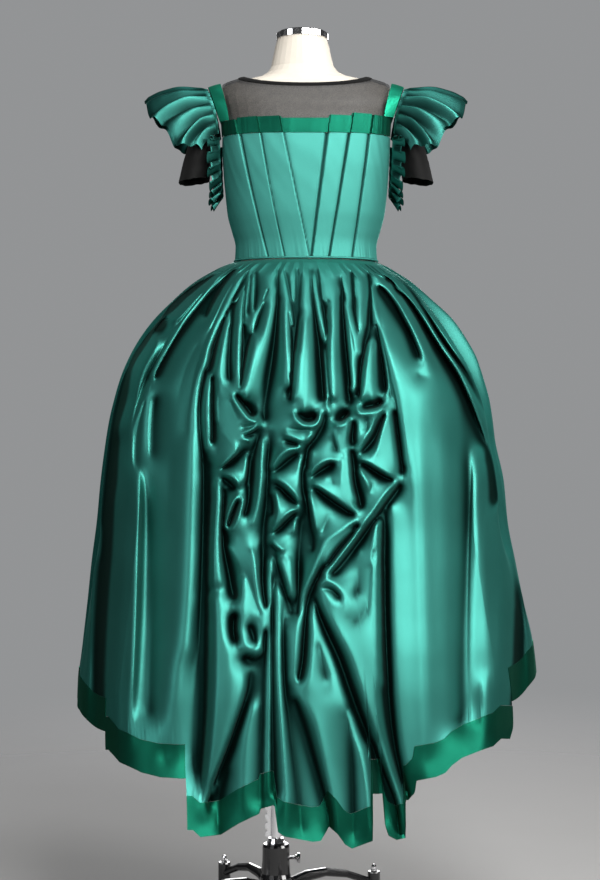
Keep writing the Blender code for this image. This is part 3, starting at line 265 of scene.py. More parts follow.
# sweeping folds from the waist down the left side
LEFT_CREASES = (
    # thin roll along the outline, and the dark band inside it
    ((229, 264.6, 1), (179, 293, 5), (154, 323.6, 6), (127, 363, 6), (111, 408, 6), (102.4, 462, 5), (98.4, 505, 5), (94, 560, 4)),
    ((221, 271, -2), (181, 299, -5), (159, 323, -6), (134, 358, -7), (119.6, 398, -7), (112.6, 440, -7), (108, 480, -6), (104, 530, -4)),
    # free left edge of the pale fold, and just outside it
    ((236, 262, 1), (214, 276, 9), (192, 295, 16), (175, 311.5, 21), (161, 318.4, 23), (146, 342, 23), (133, 365, 23), (129.6, 398, 22), (122, 427, 21), (124.4, 442, 18), (120.6, 478, 17), (116.6, 505, 17), (113.4, 560, 16), (107.6, 659, 15), (106.6, 760, 14)),
    ((190, 292.5, 2), (171, 310, 3), (158.6, 318, 2), (143, 342, -3), (130.6, 364, -6), (127, 398, -7), (119.6, 427, -7), (120.4, 444, -7), (117, 478, -7), (113, 505, -7), (110, 560, -7), (104.4, 659, -7), (103.4, 760, -6)),
    # its right side, and the thin crest beside it
    ((206, 287, 6), (186, 311, 6), (172, 332, 3), (159, 354, 1), (146, 378, 0), (137, 402, 0), (130, 426, 3), (128, 444, 7)),
    ((236, 264, 1), (211, 288.5, 8), (191, 310.8, 10), (176, 333, 9), (162, 358.6, 8), (149.5, 382.6, 8), (139.5, 408, 9), (130.7, 433.6, 11), (128.5, 454, 12), (127, 490, 17), (125, 560, 18), (123, 640, 17), (121, 720, 13)),
    ((236, 267, -2), (214, 290, -5), (194, 314, -5), (178, 336, -5), (163.6, 360, -5), (152.6, 382, -5)),
    # lens below it: dark core and right crest, running down as a broad lit fold
    ((152, 372, 1), (148, 392, 4), (143.4, 414, 8), (142.6, 434, 9), (145, 458, 6), (148, 484, 1), (150, 520, -3), (151, 560, -4), (151, 640, -4), (150, 720, -3)),
    ((144.6, 396, -1), (138, 424, -3), (134, 452, -2), (135, 472, 1)),
    # wide plain facet and the soft crease before it
    ((157, 392, -4), (153, 430, -5), (152, 462, -4)),
    ((200, 340, 3), (184, 372, 4), (174, 420, 4), (170, 480, 3), (168, 560, 3), (165, 650, 3)),
    # pale band with its small hook, and the dark wedge before it
    ((243, 263, 2), (233, 277, 8), (222, 295, 12), (211, 318, 13), (204.4, 333, 9)),
    ((239, 266, -3), (226, 281, -7), (214, 300, -8), (204, 321, -6)),
    # long lit crest between the facet and the dark hollow, with a flat top
    ((249.4, 262, 2), (238.3, 283.7, 9), (225.5, 307.6, 13), (216, 326.7, 15), (204.8, 353.9, 17), (196.8, 382.6, 18), (193.4, 406.5, 18), (192, 430.4, 17), (190.6, 454.3, 16), (188.4, 478, 15), (187, 505, 15), (185.4, 560, 14), (183, 600, 14), (176, 659, 13), (166, 728, 10), (164, 765, 8)),
    ((206.8, 356, 13), (199, 382.6, 14), (195.8, 406.5, 14), (195.8, 430.4, 13), (197.8, 454.3, 12), (198.2, 478, 11), (197.4, 505, 10), (196, 560, 9), (193.6, 600, 9), (188, 659, 8)),
    ((235.6, 277, 4), (224, 298, 5), (213.6, 321, 6), (203, 346, 6), (194, 376, 6), (188.6, 410, 5), (186, 440, 5)),
    # dark hollow
    ((250.6, 265, -2), (240.6, 287, -5), (229.6, 307.6, -8), (220.4, 331.5, -10), (211.6, 358, -11), (202.8, 385, -11), (199.2, 408, -10), (199.8, 430, -9), (202.6, 462, -9), (203, 505, -10), (201.8, 560, -10), (199, 640, -10), (197, 700, -9), (195, 775, -7)),
    # short crest in the hollow
    ((212, 348, 1), (206.4, 376, 4), (203.6, 404, 8), (204.2, 430, 9), (207, 455, 3)),
    ((211, 376, 1), (209.8, 404, 4), (210.4, 430, 5), (209.6, 453, 2)),
    ((213.4, 372, -7), (213, 395, -9), (212.8, 423, -9), (213, 447, -9)),
    # left edge of the plain facet beside column 1
    ((227.6, 309, 6), (222.6, 331.5, 9), (218.2, 358.6, 10), (215.8, 398.5, 9), (216.2, 427, 6)),
)
# gathers between the waist and the pick-ups: each has a steep left side, a flat
# top that drops a little to the right, and a long dark right side
GATHER_CREASES = (
    # narrow folds left of cone 1
    ((250, 264, 2), (244, 285, 4), (236, 300, 6), (229, 306, 8), (229.5, 330, 7)),
    ((247, 272, -3), (240, 296, -4), (233, 308, -5), (231.5, 332, -5), (230, 360, -6), (230, 385, -6)),
    ((243, 285, 3), (239.5, 303, 9), (238.3, 330, 11), (238, 360, 11), (238.5, 388, 8)),
    ((245.2, 285, 2), (242, 303, 7), (241.2, 330, 8), (240.4, 360, 8), (239.8, 392, 5)),
    ((248, 266, -3), (245, 290, -5), (243.4, 325, -7), (242.2, 360, -9), (240.6, 390, -9)),
    ((250.5, 263, 3), (247, 288, 7), (244.5, 312, 6), (244, 330, 2)),
    ((251.5, 268, -3), (249.5, 290, -4), (248.3, 320, -5)),
    ((253, 263, 3), (252.8, 285, 8), (252.3, 310, 8), (251.5, 325, 3)),
    ((255, 266, -3), (255.5, 290, -5), (254, 316, -7)),
    ((262, 264, 3), (260.5, 278, 4)),
    ((274, 264, 4), (266, 290, 7), (258.8, 307, 5)),
    ((270, 284, -3), (264, 300, -4), (256, 322, -6), (249, 345, -9), (244.5, 366, -10), (240, 392, -10)),
    # cone 1: left edge, bend, right rim, groove
    ((274, 277, 6), (266, 296, 10), (257, 316, 12), (249, 348, 13), (243.5, 376, 13), (239.4, 400, 11)),
    ((275.2, 283, 5), (273.6, 304, 8), (267.3, 328.6, 9), (258.5, 355, 9), (249, 383, 9), (243.5, 404, 8)),
    ((276.4, 300, -3), (272.5, 340, -8), (267, 375, -12), (262, 408, -13)),
    ((278, 264, -2), (277.6, 300, -7), (275.5, 335, -12), (271.5, 370, -15), (266.5, 400, -16), (264.5, 425, -12)),
    # plain dark slope up to the strip beside cone 2
    ((276.5, 264, 3), (275.8, 278, 5)),
    ((281, 264, 3), (284.5, 282, 7), (288.5, 298, 8), (292, 318, 7), (293.2, 331, 3)),
    ((283.5, 264, -2), (288.8, 292, -5), (293, 318, -7), (294.6, 336, -8)),
    ((278.7, 266, 1), (280.3, 290, 2), (280.8, 300, 4)),
    ((283.7, 297, 6), (284, 320, 9), (286.5, 350, 10), (288.8, 378, 8), (289.6, 392, 4)),
    ((286, 297, 5), (288, 320, 7), (290, 350, 7), (291, 378, 5)),
    ((288.5, 306, -4), (290.8, 326, -7), (292.3, 350, -9), (292, 378, -11), (290.6, 405, -12)),
    ((284.5, 264, 3), (286.5, 276, 4)),
    ((294.2, 263, 3), (293.5, 285, 5), (292.5, 305, 4)),
    ((297, 264, -3), (296.5, 290, -5), (295.8, 312, -6)),
    ((299, 264, 3), (301, 275, 4)),
    # dark upper part of cone 2
    ((304, 264, 4), (302.5, 290, 5), (300.8, 312, 3)),
    ((302, 266, -1), (300, 300, -5), (297.5, 325, -8), (293.8, 356, -11)),
    # cone 2
    ((304, 314, 7), (300.5, 332, 11), (296.3, 356, 13), (293.4, 380, 13), (292.4, 405, 11)),
    ((306.5, 314, 7), (308.3, 338, 9), (307.8, 362, 9), (306, 392, 9), (304, 416, 8)),
    ((309.3, 270, 2), (311.5, 300, -2), (315.5, 335, -8), (319.5, 372, -12), (322, 404, -12)),
    ((310.8, 264, -3), (313.2, 300, -8), (317.3, 335, -13), (321.4, 372, -16), (324, 405, -16)),
    # strip folds between cones 2 and 3
    ((312.5, 270, 5), (313.8, 290, 9), (318.5, 311, 11), (322, 328, 9), (326.6, 345, 5)),
    ((315, 273, 4), (317.3, 292, 6), (321.5, 311, 6)),
    ((316.5, 264, -2), (319.3, 292, -6), (324.5, 318, -8), (327.4, 340, -10)),
    ((320.5, 263, 4), (321.8, 285, 6), (322.8, 305, 4)),
    ((325, 263, 4), (325, 278, 5), (324.8, 288, 3)),
    ((328, 300, -3), (326, 325, -6), (326, 350, -6), (327.3, 380, -7), (329.5, 410, -8)),
    ((331.8, 263, 4), (329, 290, 6), (326.6, 325, 4)),
    ((323.8, 345, -4), (325.8, 375, 2), (327.5, 400, 5), (329.4, 420, 6)),
    # cone 3
    ((336.3, 281, 6), (333, 310, 10), (329.3, 340, 12), (328.4, 362, 12), (330.5, 385, 11), (332.8, 402, 9)),
    ((338.6, 283, 5), (337.8, 310, 8), (336, 335, 9), (334.4, 362, 9), (334, 385, 8), (334.6, 404, 6)),
    ((340, 290, -3), (341, 320, -7), (343.5, 350, -11), (347, 380, -13), (350, 408, -14)),
    ((340.6, 270, -2), (342.8, 300, -7), (345, 330, -11), (348.2, 362, -13), (351.2, 392, -12)),
    ((344, 297, 4), (345.3, 315, 8), (347.4, 341, 9), (350.4, 372, 9), (353, 397, 7)),
    ((346, 296, 4), (350, 312, 8), (355, 330, 9), (359.4, 350, 8), (361.2, 360, 5)),
    ((348, 320, 3), (352, 345, 2), (355, 370, 1), (356, 392, 0)),
    ((337.5, 264, 4), (343, 283, 6), (349, 300, 7), (352, 309, 6)),
    ((348.7, 264, 3), (350.3, 285, 4), (352.4, 305, 3)),
    ((351, 266, -3), (353, 295, -6), (356, 318, -7), (360, 338, -8)),
    ((355.6, 263, 4), (355.3, 285, 6), (354.4, 302, 3)),
    # lens above cone 4
    ((362.8, 264, 4), (359.5, 290, 9), (356.6, 313, 11), (358.5, 328, 10), (361, 341, 5)),
    ((363.4, 264, 3), (367, 282, 7), (366, 305, 8), (364, 332, 5)),
    ((367, 268, -3), (369.8, 290, -6), (369, 312, -8), (366.8, 336, -10), (362.5, 356, -12), (360, 380, -13), (358.8, 402, -12)),
    # cone 4
    ((370.6, 338, 8), (366, 356, 11), (361.8, 378, 12), (360.8, 404, 10)),
    ((374, 337, 7), (373.7, 358, 9), (373.3, 380, 9), (372.6, 406, 7)),
    ((375.8, 310, -3), (379.6, 342, -8), (383, 372, -11), (385.6, 396, -10)),
    ((372, 281, 5), (374.4, 306, 8), (379.6, 335, 9), (385, 368, 9), (388.8, 402, 8)),
    ((374.4, 281, -1), (377, 306, 0), (382.6, 340, 1), (387.6, 372, 1), (390.6, 402, 0)),
)
# bright edges of the pockets, and the hollow just above each
POCKET_CREASES = (
    ((230, 391, 12), (233, 397.5, 15), (243, 411.5, 17), (250.5, 419.5, 18), (256, 420.4, 18), (262, 420.2, 15)),
    ((234.4, 391, -4), (238, 397, -8), (247, 408.5, -14), (252.5, 415, -17), (258.5, 415.2, -15)),
    ((291.5, 409, 10), (294.5, 416, 15), (299, 421.5, 18), (305.5, 426, 20), (311.5, 425, 20), (317, 423.7, 18), (320, 416, 14), (322.4, 408, 8)),
    ((295, 409, 1), (298, 413.5, -4), (302.5, 417.5, -9), (307, 419.6, -13), (311, 419.2, -16), (314.6, 417.5, -16), (317.3, 411, -15)),
    ((331, 423.5, 12), (336, 424.3, 16), (342, 424, 18), (347.5, 420.3, 16), (352.5, 416.5, 13)),
    ((334.8, 418, -8), (338, 419.2, -15), (341.5, 418.8, -18), (345, 415.6, -17), (349, 411, -14)),
    ((354, 404.5, 9), (357.5, 410.5, 14), (361, 413, 17), (370, 411.7, 19), (378, 409.7, 19), (389, 404, 15)),
    ((359.5, 405, -7), (363, 407.6, -8), (369.5, 406.3, -9), (377, 404.2, -14), (384.5, 399.6, -13)),
)
# zigzag of crests and creases between the points where the cloth is caught; a
# bright facet is high at its left and lower edges and low at its upper and right ones
PICKUP_CREASES = (
    # plain facet left of column 1, and column 1
    ((216, 388, 2), (217, 415, 3), (217, 440, 3), (216, 462, 2)),
    ((228, 396, 6), (234, 412, 7), (240, 424, 8)),
    ((238, 434, 13), (250, 430.5, 15), (261.4, 422.6, 12)),
    ((238, 427.5, 5), (249, 427, 4), (258.5, 423.6, 8)),
    ((240, 437.6, 1), (250.5, 434.5, -5), (261.5, 426, -4)),
    ((236, 436, 12), (246, 438.5, 15), (252.6, 442.3, 10)),
    ((216, 427, 4), (223, 433, 9), (231.5, 441.5, 14), (235.6, 449, 16), (233.5, 455, 15), (224.5, 463, 13), (216, 470.6, 3)),
    ((252.4, 445.6, -4), (243.5, 452, -5), (234, 458.8, -6), (225.5, 466, -6), (218, 471.6, -4)),
    ((217, 472.3, 4), (225, 473.5, 13), (232, 477, 16), (237, 483, 15), (240.6, 490.6, 8)),
    ((219, 475.8, -4), (227, 480.6, -7), (233.4, 486.6, -8), (238.4, 491.5, -6)),
    ((246.8, 452, 6), (246.5, 463, 4), (245.5, 476, 3), (242.6, 487, 2)),
    ((249.3, 452, -5), (249, 465, -9), (247.8, 478, -9), (245.4, 490, -7)),
    ((240.2, 491.8, 8), (233.5, 502, 14), (228.3, 513, 14), (225.3, 524, 12), (223.8, 534.5, 4)),
    ((240.4, 496, -3), (236, 506, -7), (231, 519, -8), (226.6, 531, -5)),
    ((243.4, 492, 7), (242, 503, 12), (238.6, 514, 14), (233, 526, 12), (227, 534.5, 5)),
    # upright strip left of column 1, and the hollows beside it
    ((215.6, 478, 6), (214.8, 500, 11), (212.6, 530, 14), (211.6, 560, 14), (212.4, 590, 14)),
    ((219.6, 480, 5), (220.4, 500, 9), (219, 530, 11), (218.6, 560, 11), (220.6, 590, 11)),
    ((209, 458, -6), (210, 490, -8), (209, 520, -8), (207.5, 556, -8), (206, 640, -8), (204.5, 720, -7), (200, 800, -4)),
    ((223, 484, -4), (223.6, 505, -7), (223.2, 525, -8), (224, 545, -9), (230, 575, -10), (236, 602, -10)),
    # hollow between column 1 and the long crest
    ((263.4, 424, -5), (258, 440, -8), (253, 460, -10), (251, 480, -10), (249, 500, -9), (243.5, 520, -7)),
    ((262.5, 436, 4), (261.4, 455, 6), (260.5, 480, 6), (257.5, 505, 6), (251, 530, 5)),
    ((271, 425, -5), (269.4, 450, -8), (268.4, 468, -8), (267.4, 486, -8), (266.4, 505, -9), (264.5, 530, -9), (263.5, 556, -10), (263.5, 590, -10), (267.6, 612, -8)),
    # column 2
    ((280, 430, 12), (291.5, 437, 15), (300, 440.3, 15), (304.8, 446, 9)),
    ((281.5, 427.5, 6), (298, 430, 3), (314, 429, 4)),
    ((279, 436, 6), (288, 442, -3), (297, 445.2, -6), (302, 446.3, -3)),
    ((314.6, 431.7, 13), (309.5, 438, 14), (305.6, 444, 10)),
    ((326, 408, -5), (322.5, 425, -7), (316, 437, -7), (309, 447, -8), (306.8, 462, -9), (306.2, 474, -9)),
    ((269.6, 473.4, 3), (272.6, 466, 9), (279, 456.3, 14), (285, 450.8, 16), (292, 448, 16), (298, 447.2, 14), (304.2, 447.6, 8)),
    ((271, 475.2, -3), (277.4, 470, -6), (285.5, 463, -7), (294, 456.5, -7), (302, 451, -5)),
    ((302.2, 453, 4), (300.2, 465, 3), (299.4, 478, 3), (300, 493, 3), (302.4, 505, 2)),
    ((304.6, 455, -7), (302.8, 468, -8), (301.8, 480, -8), (302.6, 494, -8), (304.6, 506, -6)),
    ((269.8, 475.4, 4), (278, 479.4, 14), (287.5, 486.4, 17), (295, 494.6, 15), (301.6, 506.8, 6)),
    ((271.4, 479.6, -3), (277, 484.9, -6), (284.6, 491.8, -7), (291.6, 498.6, -7), (300, 508, -4)),
    ((274.8, 487, 9), (276.4, 500, 14), (276.6, 515, 15), (272.6, 529, 11)),
    ((271, 490, -6), (272.4, 505, -7), (272, 520, -6)),
    ((302.2, 508.8, 5), (296, 509.6, 13), (291.5, 511.4, 16), (283.5, 518.6, 16), (276, 526.6, 13), (268.2, 534.6, 4)),
    ((301, 511.4, -4), (293, 515.2, -7), (285.4, 522.4, -7), (277.4, 530, -7), (270, 536, -4)),
    ((295.4, 517, 4), (295, 528, 3), (293, 537, 2)),
    ((298, 517, -6), (297.6, 530, -7), (295.6, 540, -6)),
    ((268.6, 536.6, 4), (272, 542, 12), (276.4, 547.2, 15), (281.6, 549.4, 14), (288, 547.6, 10)),
    ((270.6, 541.6, -4), (274.4, 548.6, -5), (279.6, 552.6, -3)),
    ((277.4, 554, 8), (282, 568, 11), (286.4, 584, 12), (290.6, 602, 8)),
    ((288.6, 553, 7), (290.8, 568, 9), (292.6, 584, 9), (294, 602, 5)),
    ((273, 548, -4), (277, 562, -6), (282, 580, -8), (287.6, 598, -9), (292.4, 618, -8)),
    ((303.4, 512, -8), (300.8, 530, -10), (298.8, 560, -10), (298.6, 590, -10), (298, 620, -8)),
    # column 3
    ((333.4, 427, 8), (336.6, 441, 9), (341.4, 458, 4)),
    ((330, 427, 5), (333, 441, 0), (338, 456, -1)),
    ((351, 419, 13), (347.3, 436, 11), (343.2, 458, 3)),
    ((307.6, 478.8, 3), (312, 471.6, 11), (318.5, 464.6, 15), (327.5, 460, 16), (335, 460, 14), (340.4, 461.4, 7)),
    ((309, 480.2, -3), (315, 475, -6), (322, 469.8, -7), (330, 465.4, -7), (338.5, 463.7, -4)),
    ((312, 447, 4), (311, 460, 5), (309.4, 470, 4)),
    ((322, 476, 6), (329, 480, 6), (336, 483.6, 5)),
    ((345.8, 446, 9), (342.6, 462, 12), (341.2, 478, 14), (344.6, 492, 14), (352, 505, 12), (361, 516.2, 6)),
    ((347.6, 446, 8), (349.6, 462, 9), (351, 478, 10), (353.6, 492, 9), (358.6, 506, 7)),
    ((350.4, 446, -5), (353, 466, -8), (354.6, 482, -8), (358, 498, -8), (363, 512, -6)),
    ((308.4, 481.2, 5), (316, 484.6, 13), (324, 490, 15), (333, 496.6, 15), (343, 504, 13), (352, 510.6, 10), (360.4, 516.8, 5)),
    ((310, 484.8, -3), (319, 491.4, -6), (329, 498.6, -7), (339.5, 506, -7), (350, 512.6, -6), (358, 517.4, -4)),
    ((308.6, 489, 9), (311.4, 505, 14), (314, 520, 14), (318, 536, 11)),
    ((333, 505.6, 1), (329, 514, 2), (325, 524, 3), (321, 536, 5)),
    ((306, 488, -8), (307.6, 505, -9), (309.6, 522, -9), (312.4, 540, -8), (312.4, 556, -8)),
    ((361.6, 517.6, 5), (352, 522.6, 14), (344, 528.4, 16), (334.5, 534.6, 16), (325, 541.4, 15), (319.6, 553, 14), (314.6, 570, 13), (308, 584, 12), (302.8, 598, 11), (299.6, 630, 12), (296.6, 663, 11), (294.6, 687, 5)),
    ((357, 527.6, 9), (346, 538, 10), (335, 550, 10), (326.6, 564, 9), (318.6, 578, 8)),
    ((361.6, 522, -5), (352.6, 532, -8), (341.6, 544, -8), (331.6, 557, -9), (321.6, 572, -9), (312.4, 588, -9), (307, 602, -9), (304.6, 630, -9), (302.6, 660, -9), (298, 684, -6)),
    # column 4
    ((388.4, 404.6, 12), (382, 411.6, 15), (374, 424, 15), (366.4, 438, 14), (355.4, 456.4, 4)),
    ((387.4, 409.6, 2), (381.4, 421, -5), (375.6, 436, -6), (367, 446.6, -5), (358.6, 456.4, -3)),
    ((388.4, 409.4, 12), (385, 421, 14), (381, 434, 15), (376.4, 452.6, 15), (366, 456.4, 9)),
    ((353.8, 417, -6), (352.2, 435, -8), (353, 449, -7)),
    ((358.6, 414, 8), (358.4, 430, 9), (357, 445, 7)),
    ((366.4, 414.6, 5), (367, 424, 4), (366, 433, 4)),
    ((390.6, 407, 10), (393.8, 430, 9), (396.8, 452, 8), (399.4, 475, 5)),
    ((394.4, 407, -5), (397.6, 436, -7), (400.6, 458, -7), (402.6, 478, -5)),
    ((355.6, 457.4, 5), (363, 459.6, 13), (371, 463.4, 15), (381, 469.6, 15), (391, 475.4, 12), (399, 478.4, 5)),
    ((357.5, 461, -3), (364, 464.4, -6), (372.5, 469.8, -7), (382, 475.8, -7), (392, 480.4, -5), (397.5, 480.9, -3)),
    ((357.6, 465, 5), (362.6, 474, 12), (368.4, 485, 11), (371, 495, 6)),
    ((376, 476, 4), (372.6, 484, 3), (371.6, 494, 2)),
    ((399.6, 479.6, 5), (394, 485, 13), (388, 492, 16), (380, 503.4, 16), (370.6, 516, 16), (359.6, 530, 16), (347.6, 546, 16), (336, 561, 15), (326, 574, 13), (315, 589.6, 4)),
    ((402.4, 480.4, -3), (397.4, 488.6, -7), (391, 497.6, -8), (383, 509, -8), (374, 521.6, -8), (363, 536, -8), (351, 552, -8), (340, 566, -7), (329, 579, -5)),
    # upright strip down from the diagonal fold, the hollow at its right
    ((376.6, 517, 8), (374, 535, 12), (372.6, 560, 14), (373, 590, 14), (374.6, 620, 15), (376, 660, 16), (377, 690, 16), (381, 735, 17), (391.4, 772, 18), (401, 804, 18), (403, 834, 18)),
    ((379.6, 516, 7), (379, 535, 10), (378.8, 560, 11), (379.6, 590, 11), (380.6, 620, 12), (381.4, 660, 12), (382.6, 690, 12)),
    ((384, 500, -4), (383.6, 525, -8), (383.2, 560, -10), (384, 620, -10), (386, 665, -10), (388, 700, -10), (392.5, 740, -10), (399.6, 775, -10), (409, 805, -8), (412, 840, -6)),
)
# the train: long folds from the pick-ups down to the hem
TRAIN_CREASES = (
    # caught point of the long fold, with the bulge right of it
    ((315, 588.5, 8), (321, 583.5, 13), (328.4, 580, 16), (335, 584, 17), (341, 591, 18), (347, 602, 17), (348.5, 613, 15), (346.5, 625, 11)),
    ((318, 590.5, 3), (325, 588.5, 3), (332, 590, 3), (338, 596, 3), (343, 602.5, 6)),
    ((315, 592, 6), (323, 592.3, 12), (330, 598, 15), (337, 605.5, 15), (340, 616, 13)),
    ((374, 545, 8), (370, 590, 9), (367, 608, 9), (360, 620, 10), (350, 627, 10)),
    ((360, 545, 1), (358, 575, 1), (356, 600, 2)),
    # dark line of the long fold, and its full right side
    ((312.8, 594, -6), (320, 617, -8), (328.4, 636, -8), (339.5, 660, -8), (350.3, 690.8, -8), (359.3, 715, -8), (369, 740, -9), (377, 760, -9), (390, 790, -9), (397, 812, -8), (399, 840, -6)),
    ((317, 594, 6), (326, 612, 12), (338, 634, 15), (349, 655, 17), (360, 685, 19), (370, 714, 19), (382, 742, 18)),
    # left of the line
    ((312, 600, 0), (320, 632, 4), (331, 665, 7), (343, 700, 9), (354, 735, 12), (364, 760, 17), (370, 790, 22), (372.5, 815, 24), (373, 842, 24)),
    ((366.5, 730, -2), (371.5, 750, -5), (376, 775, -6), (378.5, 800, -6), (380, 830, -4)),
    # crest down from the lowest caught point
    ((292, 693, 3), (300, 700, 10), (312, 720, 16), (320, 750, 19), (327, 785, 20), (332, 812, 20), (335, 842, 20)),
    ((345, 700, 3), (349, 730, 2), (352, 760, 2), (353, 800, 4), (354, 842, 6)),
    ((293.4, 694.4, -6), (300, 715, -7), (307.2, 738, -8), (316, 768, -8), (325, 797, -8), (329.5, 815, -7), (331, 842, -5)),
    ((294.5, 692, 5), (303.7, 687.5, 11), (308, 676, 13), (310.3, 660, 13), (311.5, 636, 11), (312.5, 610, 6)),
    ((318, 640, 3), (322, 665, 1), (326, 683, 0)),
    ((334, 668, 5), (328, 690, 8), (322, 700, 12)),
    # fine upright folds
    ((277.6, 583, 7), (276.8, 610, 11), (276.6, 640, 13), (278, 679, 14), (280.5, 710, 14), (283.5, 757, 15), (286, 803, 15), (287, 838, 14)),
    ((273.5, 570, -5), (273, 610, -7), (272.6, 660, -7), (273, 710, -6), (273.5, 760, -5), (275, 800, -4)),
    ((283, 590, -1), (283.5, 640, -4), (285, 690, -6), (289.5, 730, -5), (296, 780, -4), (302, 836, -2)),
    ((288, 625, 3), (289, 655, 4), (290, 688, 1)),
    ((270.3, 555, 2), (269.3, 600, 5), (268.8, 650, 6), (268, 720, 6), (266, 800, 8)),
    ((265.8, 625, -6), (264.5, 660, -7), (263, 700, -6), (261.5, 760, -4), (261, 810, -3)),
    # loop on the left
    ((244, 573, 8), (240.5, 600, 13), (239.3, 615, 15), (238.6, 629, 16), (240.5, 638, 16), (245, 646.5, 16), (251, 651.5, 16), (257, 654, 15), (259.8, 652, 13), (259.5, 640, 13), (261.5, 630, 13), (265.2, 621.5, 8)),
    ((246.5, 622, 0), (252, 630, -4), (255, 640, -4), (254, 647, -2)),
    ((243.5, 615.5, 10), (252, 614.5, 9), (259, 617.5, 9), (264.6, 620.6, 7)),
    ((250, 545, 9), (254, 560, 12), (257, 585, 13), (260.5, 603, 11), (264.8, 619, 7)),
    ((226, 542, 2), (235, 557, 2), (245, 574, 3), (254, 596, 3), (262.5, 618.5, 3)),
    ((241, 655, -8), (250, 660, -8), (258, 660, -8), (263, 650, -8)),
    ((236.5, 610, -7), (234.5, 630, -8), (237, 645, -8)),
    # wide bright fold at the left of the train, with its free right edge
    ((218.6, 590, 11), (222, 620, 16), (228, 650, 18), (231, 676, 19), (230, 700, 20), (221, 740, 21), (211, 775, 21), (204, 803, 21), (202.4, 834, 20)),
    ((212.4, 590, 14), (212.6, 640, 19), (211.4, 690, 22), (207.4, 740, 23), (200.6, 790, 23), (197.6, 834, 22)),
    ((238, 668, 14), (244, 690, 13), (236, 722, 15), (225, 752, 17), (215, 778, 18), (207, 803.5, 19)),
    ((252, 668, -5), (249, 688, -5), (241.5, 709, -5), (234.5, 728, -5), (226.5, 750, -5), (217, 773.5, -6), (209.5, 796, -6), (210, 812, -2)),
    ((256, 700, 4), (246, 735, 7), (243, 775, 9), (240, 822, 12)),
    ((229, 765, -2), (221, 790, -6), (219, 806, -5), (218, 834, 4)),
)
# right side, from the waist
RIGHT_CREASES = (
    # outer thin crest, its outer side, and the dark band below it
    ((374.4, 262, 2), (385.5, 269.3, 8), (407.8, 291.7, 15), (422.2, 312.4, 17), (435, 333, 17), (449.3, 353.9, 17), (462, 373, 17), (471.6, 393.7, 16), (484.4, 420.8, 15), (495.5, 446.3, 14), (500.3, 470.2, 13), (503.5, 505, 12), (504, 540, 9), (500, 580, 7)),
    ((391, 270, 4), (412.6, 290, 8), (427.6, 311, 9), (440.6, 331, 9), (455, 352, 9), (467.4, 371, 9), (477, 391, 9), (489, 418, 8), (499, 444, 7)),
    ((383, 273.6, -4), (397, 290, -8), (409.6, 306, -11), (420, 321, -10), (430.6, 337, -7), (443.6, 357, -6), (456, 376, -6), (467, 399, -6), (478.6, 429, -6), (486, 452, -6), (491.6, 478, -6), (496.4, 508, -4)),
    # inner crest with its hook, and the dark hollows round it
    ((364, 262, 2), (379, 279, 10), (393.5, 293.3, 13), (407.8, 318.8, 15), (419, 339.5, 16), (427, 357, 15), (432.5, 368, 12), (431.9, 373.6, 11), (427.5, 376, 10), (421, 374.6, 8), (415, 371, 8)),
    ((386, 278, 5), (400, 293.6, 7), (413.6, 316, 7), (424, 337, 6), (433, 357, 5)),
    ((375, 284, -6), (383, 292.6, -10), (392, 305, -11), (400, 318, -10), (408, 332, -8), (414, 347, -6), (421, 362, -3)),
    # wide bright face: left and right edges
    ((374.6, 291, 7), (377.6, 312, 10), (382, 335, 12), (391.9, 366.6, 13), (398.6, 400, 13), (404.6, 436.8, 13), (410, 470, 13), (415.8, 505, 12), (420, 540, 11), (423, 600, 11), (427, 680, 11), (431, 770, 10)),
    ((389.6, 372, 7), (395.2, 400, 5), (400.6, 436, 4), (404.4, 470, 3)),
    ((444, 385, 8), (445.4, 430, 9), (446, 470, 9), (446, 505, 8), (446, 560, 7), (447, 640, 6), (455, 720, 5)),
    ((461, 396, -2), (466, 450, -4), (469, 500, -5), (468, 560, -5), (464, 640, -5), (461, 730, -4)),
    # lens near the right edge
    ((481.5, 445, 8), (478.6, 478, 11), (476, 505, 12), (474, 540, 11), (473, 580, 9), (474, 640, 8), (476, 700, 7)),
    ((484.8, 460, 5), (486.6, 480, 6), (487.8, 505, 6), (487, 545, 5), (486, 600, 4), (487, 680, 3)),
    # free edge of the right side fold, and behind it
    ((512, 540, 5), (511, 600, 11), (509.8, 640, 13), (508.3, 680, 14), (505, 738, 13)),
    ((514.8, 545, -2), (514, 600, -7), (512.9, 640, -9), (511.5, 680, -9), (508.8, 738, -9)),
    # foot of the right face, beside the dark hollow of the train
    ((392, 500, 0), (392.6, 540, 0), (392.4, 600, 1), (393.6, 660, 1), (396.5, 700, 1), (402, 750, 2), (411, 790, 3), (418, 830, 3)),
)
CREASE_TABLES = (LEFT_CREASES, GATHER_CREASES, POCKET_CREASES, PICKUP_CREASES, TRAIN_CREASES, RIGHT_CREASES)
# fullness of the cloth between creases, by height on the elevation
FULLNESS = (
    # y,  crown (1/m)
    (262, 20.0), (300, 22.0), (380, 18.0), (410, 6.0), (430, 3.0), (600, 3.0), (660, 5.0), (860, 6.0))
FIELD_LEFT, FIELD_RIGHT, FIELD_TOP, FIELD_BOTTOM = 60.0, 552.0, 254.0, 862.0
CREASE_ROUNDING = 0.9       # grid units
PICKUP_ROUNDING, CREST_ROUNDING, SIDE_ROUNDING = 1.5, 3.0, 5.5
RIDGE_SCALE, GROOVE_SCALE = 1.2, 1.8   # times the table heights

